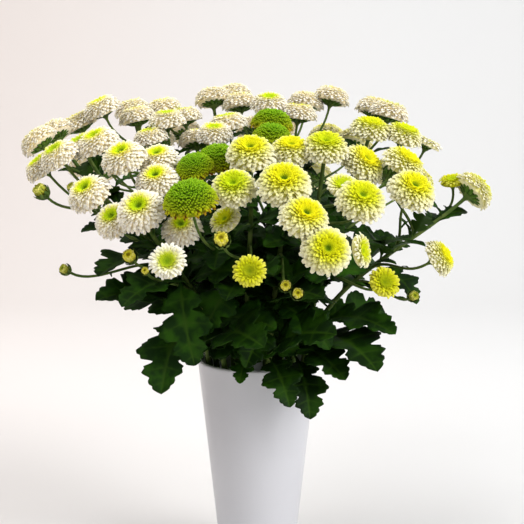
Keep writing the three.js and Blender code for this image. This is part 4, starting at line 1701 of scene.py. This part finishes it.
@dataclass
class Vase:
    """The tapered vase: a turned wall with a rounded lip and a bare foot ring."""

    height: float = 190.0
    mouth_radius: float = 53.5
    foot_radius: float = 33.0
    wall: float = 3.6
    floor: float = 6.0
    edge: float = 1.2
    foot_ring: float = 6.0
    sides: int = 144

    def build(self, wardrobe: "Wardrobe") -> bpy.types.Object:
        """Makes the vase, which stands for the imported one.

        Args:
            wardrobe: The finishes.

        Returns:
            The object.
        """
        profile = np.array(self._profile())
        rings = spun(profile, self.sides)
        draft = Draft("bare")
        bare = (rings[..., 2] < 0.4) & (profile[:, :1] > 0.9 * self.foot_radius)
        draft.loft(rings[None] * MM, bare=bare[None].astype(float))
        piece = draft.made("vase_glazed", wardrobe.glaze)
        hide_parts("vase")
        return piece

    def _profile(self) -> list[tuple[float, float]]:
        """Draws the wall's outline, from under the foot up, over the lip and down inside.

        Returns:
            Its points, as (distance from the axis, height).
        """
        radius, level = self.foot_radius, self.floor
        inner_foot, inner_mouth = radius - self.wall, self.mouth_radius - self.wall
        points = [(0.5, 0.0), (radius * 0.5, 0.0), (radius - self.foot_ring, 0.0)]
        points += self._corner(radius - self.edge, self.edge, -90, 0, self.edge)
        for share in np.linspace(0.02, 0.98, 25):
            points.append((blend(radius, self.mouth_radius, share), self.height * share))
        lip = self.wall / 2
        points += self._corner(self.mouth_radius - lip, self.height - lip, 0, 180, lip)
        for share in np.linspace(0.97, 0.04, 24):
            inner = blend(inner_foot, inner_mouth, share)
            points.append((inner, blend(level, self.height, share)))
        points += [(inner_foot - 2.0, level), (inner_foot * 0.5, level), (0.5, level)]
        return points

    @staticmethod
    def _corner(
        x: float, z: float, start: float, end: float, radius: float
    ) -> list[tuple[float, float]]:
        """Gives the points of a rounded corner.

        Args:
            x: Its centre's distance from the axis.
            z: Its centre's height.
            start: The angle at which it starts, in degrees.
            end: The angle at which it ends.
            radius: Its radius.

        Returns:
            The points, in order.
        """
        angles = np.radians(np.linspace(start, end, 7))
        return [(x + radius * math.cos(a), z + radius * math.sin(a)) for a in angles]


@dataclass(frozen=True)
class Wardrobe:
    """Every finish of the bouquet, made once."""

    petals: dict[str, bpy.types.Material]
    bract: bpy.types.Material
    stem: bpy.types.Material
    leaf: bpy.types.Material
    bud: bpy.types.Material
    glaze: bpy.types.Material
    water: bpy.types.Material

    @classmethod
    def made(cls) -> "Wardrobe":
        """Makes the finishes.

        Returns:
            All of them.
        """
        effects = Effect()
        soft = Surface(roughness=0.75, sheen=0.04, subsurface=0.30, specular=0.12, grain=2600.0)
        leafy = Surface(roughness=0.62, specular=0.11, bump=0.35, grain=1500.0, coarse=240.0)
        glassy = Surface(
            roughness=0.34, coat=0.25, bump=0.12, bump_distance=0.0004, grain=420.0, coarse=45.0
        )
        petals = {
            name: soft.dress(f"petal_{name}", effects, finish)
            for name, finish in PETAL_FINISHES.items()
        }
        return cls(
            petals=petals,
            bract=leafy.dress("bract", effects, BRACT_FINISH),
            stem=leafy.dress("stem", effects, STEM_FINISH),
            leaf=leafy.dress("leaf", effects, LEAF_FINISH),
            bud=soft.dress("bud_petal", effects, BUD_FINISH),
            glaze=glassy.dress("glaze", effects, GLAZE_FINISH),
            water=cls._water(effects),
        )

    @staticmethod
    def _water(effects: Effect) -> bpy.types.Material:
        """Makes clear water with a trace of green.

        Args:
            effects: The shared shader groups.

        Returns:
            The material.
        """
        values = {
            "Base Color": (0.86, 0.94, 0.90, 1.0),
            "Roughness": 0.03,
            "IOR": 1.333,
            "Transmission Weight": 1.0,
        }
        material, tree, shader = dressed("water", values)
        effects.roughen(tree, shader, grain=60.0, coarse=25.0, strength=0.08, distance=0.0005)
        return material


# Each petal finish's rim share paints a highlight along the petals' rims, and its base colour is
# partly the petals' own root colour and partly painted shade.
PETAL_FINISHES = {
    "white": PetalFinish(
        tiers=(
            (0.00, tint(46, 84, 2)), (0.12, tint(70, 112, 2)), (0.21, tint(196, 222, 0)),
            (0.31, tint(226, 236, 6)), (0.40, tint(248, 242, 84)), (0.54, tint(255, 244, 176)),
            (0.74, tint(255, 243, 206)), (1.00, tint(255, 242, 214)),
        ),
        tip=tint(255, 249, 234), base=tint(243, 220, 166), green=tint(176, 206, 0),
    ),
    "yellow": PetalFinish(
        tiers=(
            (0.00, tint(70, 110, 0)), (0.12, tint(104, 138, 0)), (0.19, tint(226, 224, 0)),
            (0.36, tint(240, 230, 0)), (0.50, tint(234, 229, 24)), (0.66, tint(232, 229, 96)),
            (0.82, tint(237, 232, 142)), (1.00, tint(245, 237, 194)),
        ),
        tip=tint(253, 248, 220), base=tint(184, 184, 40), green=tint(178, 210, 0),
        green_tiers=(0.30, 0.90), tip_from=0.55, tip_share=0.6, rim_share=0.4,
    ),
    "lime": PetalFinish(
        tiers=(
            (0.00, tint(122, 168, 0)), (0.55, tint(128, 170, 0)), (0.74, tint(148, 174, 0)),
            (0.90, tint(166, 178, 0)), (1.00, tint(196, 190, 6)),
        ),
        tip=tint(200, 196, 30), base=tint(66, 94, 0), green=tint(108, 164, 0),
        tip_from=0.88, fleck=tint(120, 48, 8), fleck_from=0.86, flecks=1.0,
    ),
    "young_white": PetalFinish(
        tiers=(
            (0.00, tint(118, 158, 4)), (0.16, tint(156, 188, 8)), (0.34, tint(198, 214, 30)),
            (0.50, tint(228, 232, 100)), (0.70, tint(246, 240, 176)),
            (1.00, tint(253, 246, 220)),
        ),
        tip=tint(255, 252, 240), base=tint(212, 208, 96), green=tint(170, 196, 6),
    ),
    "young_yellow": PetalFinish(
        tiers=(
            (0.00, tint(128, 150, 0)), (0.20, tint(172, 182, 0)), (0.46, tint(192, 197, 0)),
            (0.70, tint(207, 207, 0)), (1.00, tint(218, 214, 20)),
        ),
        tip=tint(242, 238, 130), base=tint(160, 170, 0), green=tint(180, 200, 0),
        tip_share=0.35, rim_share=0.2, tip_from=0.65,
    ),
}
BUD_FINISH = PetalFinish(
    tiers=(
        (0.00, tint(112, 96, 2)), (0.28, tint(142, 128, 6)), (0.42, tint(212, 200, 20)),
        (0.70, tint(238, 226, 60)), (1.00, tint(242, 232, 104)),
    ),
    tip=tint(240, 230, 120), base=tint(200, 194, 60), green=tint(96, 128, 20),
    green_tiers=(0.9, 1.6),
)
LEAF_FINISH = GreenFinish(
    main=tint(12, 40, 1), second=tint(38, 76, 2), vein=tint(44, 74, 10),
    under=tint(46, 74, 18),
)
STEM_FINISH = GreenFinish(
    main=tint(70, 92, 38), second=tint(96, 112, 54), vein=tint(106, 122, 64),
    under=tint(70, 92, 38), scale=120.0,
)
BRACT_FINISH = GreenFinish(
    main=tint(66, 98, 30), second=tint(92, 120, 44), vein=tint(110, 126, 60),
    under=tint(66, 98, 30), scale=260.0,
)
GLAZE_FINISH = GlazeFinish(
    glaze=tint(206, 206, 211), second=tint(200, 200, 206), bare=tint(180, 172, 160),
)


# ------------------------------------------------------------------------ studio


@dataclass(frozen=True)
class Lamp:
    """A square light: its place, the point it is turned to, its side and its watts."""

    name: str
    place: Place
    target: Place
    size: float
    power: float

    def build(self) -> None:
        """Adds the light."""
        light = bpy.data.lights.new(self.name, "AREA")
        light.size = self.size
        light.energy = self.power
        lamp = bpy.data.objects.new(self.name, light)
        lamp.location = self.place
        away = Vector(self.place) - Vector(self.target)
        lamp.rotation_euler = away.to_track_quat("Z", "Y").to_euler()
        bpy.context.scene.collection.objects.link(lamp)


@dataclass
class Studio:
    """A pale sweep of paper, soft lights, and the camera at the photograph's angle.

    The paper lies flat from near to bend, and curves up to stand at back, in metres along Y. It
    turns from its warm tint to its cool one over a stretch of X.
    """

    floor_level: float = -0.0006
    near: float = -2.2
    bend: float = 1.3
    back: float = 2.3
    width: float = 4.4
    top: float = 3.0
    bend_rows: int = 25
    warm: Colour = tint(225, 217, 213)
    cool: Colour = tint(222, 222, 222)
    cools_over: tuple[float, float] = (-0.9, 0.5)
    sky: Colour = tint(250, 249, 247)
    sky_strength: float = 0.21
    eye: Place = (0.0042, -0.926, 0.404)
    tilt: float = 82.15
    lens: float = 72.34
    lamps: tuple[Lamp, ...] = (
        Lamp("key", (2.55, -1.6, 2.3), (0.0, 0.0, 0.28), 2.1, 128.0),
        Lamp("fill", (-0.9, -1.7, 1.0), (0.0, 0.0, 0.30), 1.2, 1.0),
        Lamp("overhead", (-0.7, 0.45, 1.9), (-0.35, 0.3, 0.1), 1.3, 18.0),
        Lamp("high_fill", (-1.1, -1.3, 2.3), (-0.1, 0.0, 0.38), 1.2, 22.0),
        Lamp("backdrop", (0.0, 0.9, 2.6), (0.0, 2.2, 0.6), 2.2, 15.0),
    )

    def build(self) -> None:
        """Sets up the studio."""
        self._sweep()
        self._lights()
        self._camera()

    def _sweep(self) -> None:
        """Makes the floor, which curves up into the backdrop and is warmer on its left."""
        radius = self.back - self.bend
        line = [(self.near, self.floor_level), (self.bend, self.floor_level)]
        for angle in np.radians(np.linspace(0, 90, self.bend_rows))[1:]:
            rise = self.floor_level + radius * (1 - math.cos(angle))
            line.append((self.bend + radius * math.sin(angle), rise))
        line.append((self.back, self.top))
        points = [(x, y, z) for y, z in line for x in (-self.width, self.width)]
        faces = [(2 * k, 2 * k + 1, 2 * k + 3, 2 * k + 2) for k in range(len(line) - 1)]
        mesh = bpy.data.meshes.new("paper_sweep")
        mesh.from_pydata(points, [], faces)
        mesh.polygons.foreach_set("use_smooth", np.ones(len(faces), dtype=bool))
        material, tree, shader = dressed("paper", {"Roughness": 0.9, "Specular IOR Level": 0.1})
        place = tree.node("ShaderNodeTexCoord").outputs["Object"]
        across = tree.node("ShaderNodeSeparateXYZ", {0: place}).outputs["X"]
        tone = tree.mix(tree.step(across, *self.cools_over), self.warm, self.cool)
        tree.tree.links.new(tone, shader.inputs["Base Color"])
        mesh.materials.append(material)
        sweep = bpy.data.objects.new("paper_sweep", mesh)
        bpy.context.scene.collection.objects.link(sweep)

    def _lights(self) -> None:
        """Places a key light, two fills, lights for the far blooms and the backdrop, and a sky."""
        for lamp in self.lamps:
            lamp.build()
        world = bpy.data.worlds.new("sky")
        bpy.context.scene.world = world
        world.use_nodes = True
        sky = world.node_tree.nodes["Background"]
        sky.inputs["Color"].default_value = self.sky
        sky.inputs["Strength"].default_value = self.sky_strength

    def _camera(self) -> None:
        """Places the camera."""
        lens = bpy.data.cameras.new("camera")
        lens.sensor_width = 36.0
        lens.lens = self.lens
        lens.clip_start = 0.01
        camera = bpy.data.objects.new("camera", lens)
        camera.location = self.eye
        camera.rotation_euler = (math.radians(self.tilt), 0.0, 0.0)
        bpy.context.scene.collection.objects.link(camera)
        bpy.context.scene.camera = camera
        bpy.context.scene.view_settings.view_transform = "Standard"


# ------------------------------------------------------------------------ assembly


@dataclass
class Bouquet:
    """All the sprays and their blooms."""

    sprays: tuple[Spray, ...] = SPRAYS
    bunches: dict[str, list[Bloom]] = field(default_factory=dict)

    STEM_SEEDS = 101
    BLOOM_SEEDS, SEEDS_PER_BUNCH = 500, 20

    def build(self, wardrobe: Wardrobe) -> None:
        """Makes the leafy stems, then the bunches of blooms.

        Args:
            wardrobe: The finishes.
        """
        for number, spray in enumerate(self.sprays):
            blooms = [Bloom.of(spray, row) for row in spray.blooms]
            for bloom in blooms:
                self.bunches.setdefault(bloom.bunch, []).append(bloom)
            Greenery(spray, blooms, self.STEM_SEEDS + number).build(wardrobe)
        for number, (name, blooms) in enumerate(sorted(self.bunches.items())):
            self._bunch(name, blooms, number, wardrobe)

    def _bunch(self, name: str, blooms: list[Bloom], number: int, wardrobe: Wardrobe) -> None:
        """Makes the blooms of one bunch as one piece.

        Args:
            name: The bunch's name.
            blooms: Its blooms.
            number: Its place among the bunches.
            wardrobe: The finishes.
        """
        draft = Draft("tier", "along", "rim", "unripe", "shade", "vein", "under")
        seed = self.BLOOM_SEEDS + self.SEEDS_PER_BUNCH * number
        for count, bloom in enumerate(blooms):
            size = bloom.width / 2 * MM
            unripe = UNRIPE[(seed // self.SEEDS_PER_BUNCH + 2 * count) % len(UNRIPE)]
            slot = 2 if bloom.young else 0
            head = Head(bloom.form, bloom.base * MM, bloom.faces, size, seed + count, unripe, slot)
            head.build(draft)
        kind = name.split("_")[0]
        piece = draft.made(
            f"blooms_{name}_petals",
            wardrobe.petals[kind],
            wardrobe.bract,
            wardrobe.petals["young_white" if kind == "white" else "young_yellow"],
        )
        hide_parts(f"blooms_{name}")


def main() -> None:
    """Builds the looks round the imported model."""
    logging.basicConfig(level=logging.INFO, format="%(name)s %(message)s")
    Studio().build()
    wardrobe = Wardrobe.made()
    Vase().build(wardrobe)
    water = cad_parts["water"]
    water.data.materials.clear()
    water.data.materials.append(wardrobe.water)
    Bouquet().build(wardrobe)
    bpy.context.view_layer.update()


if __name__ == "__main__":
    main()
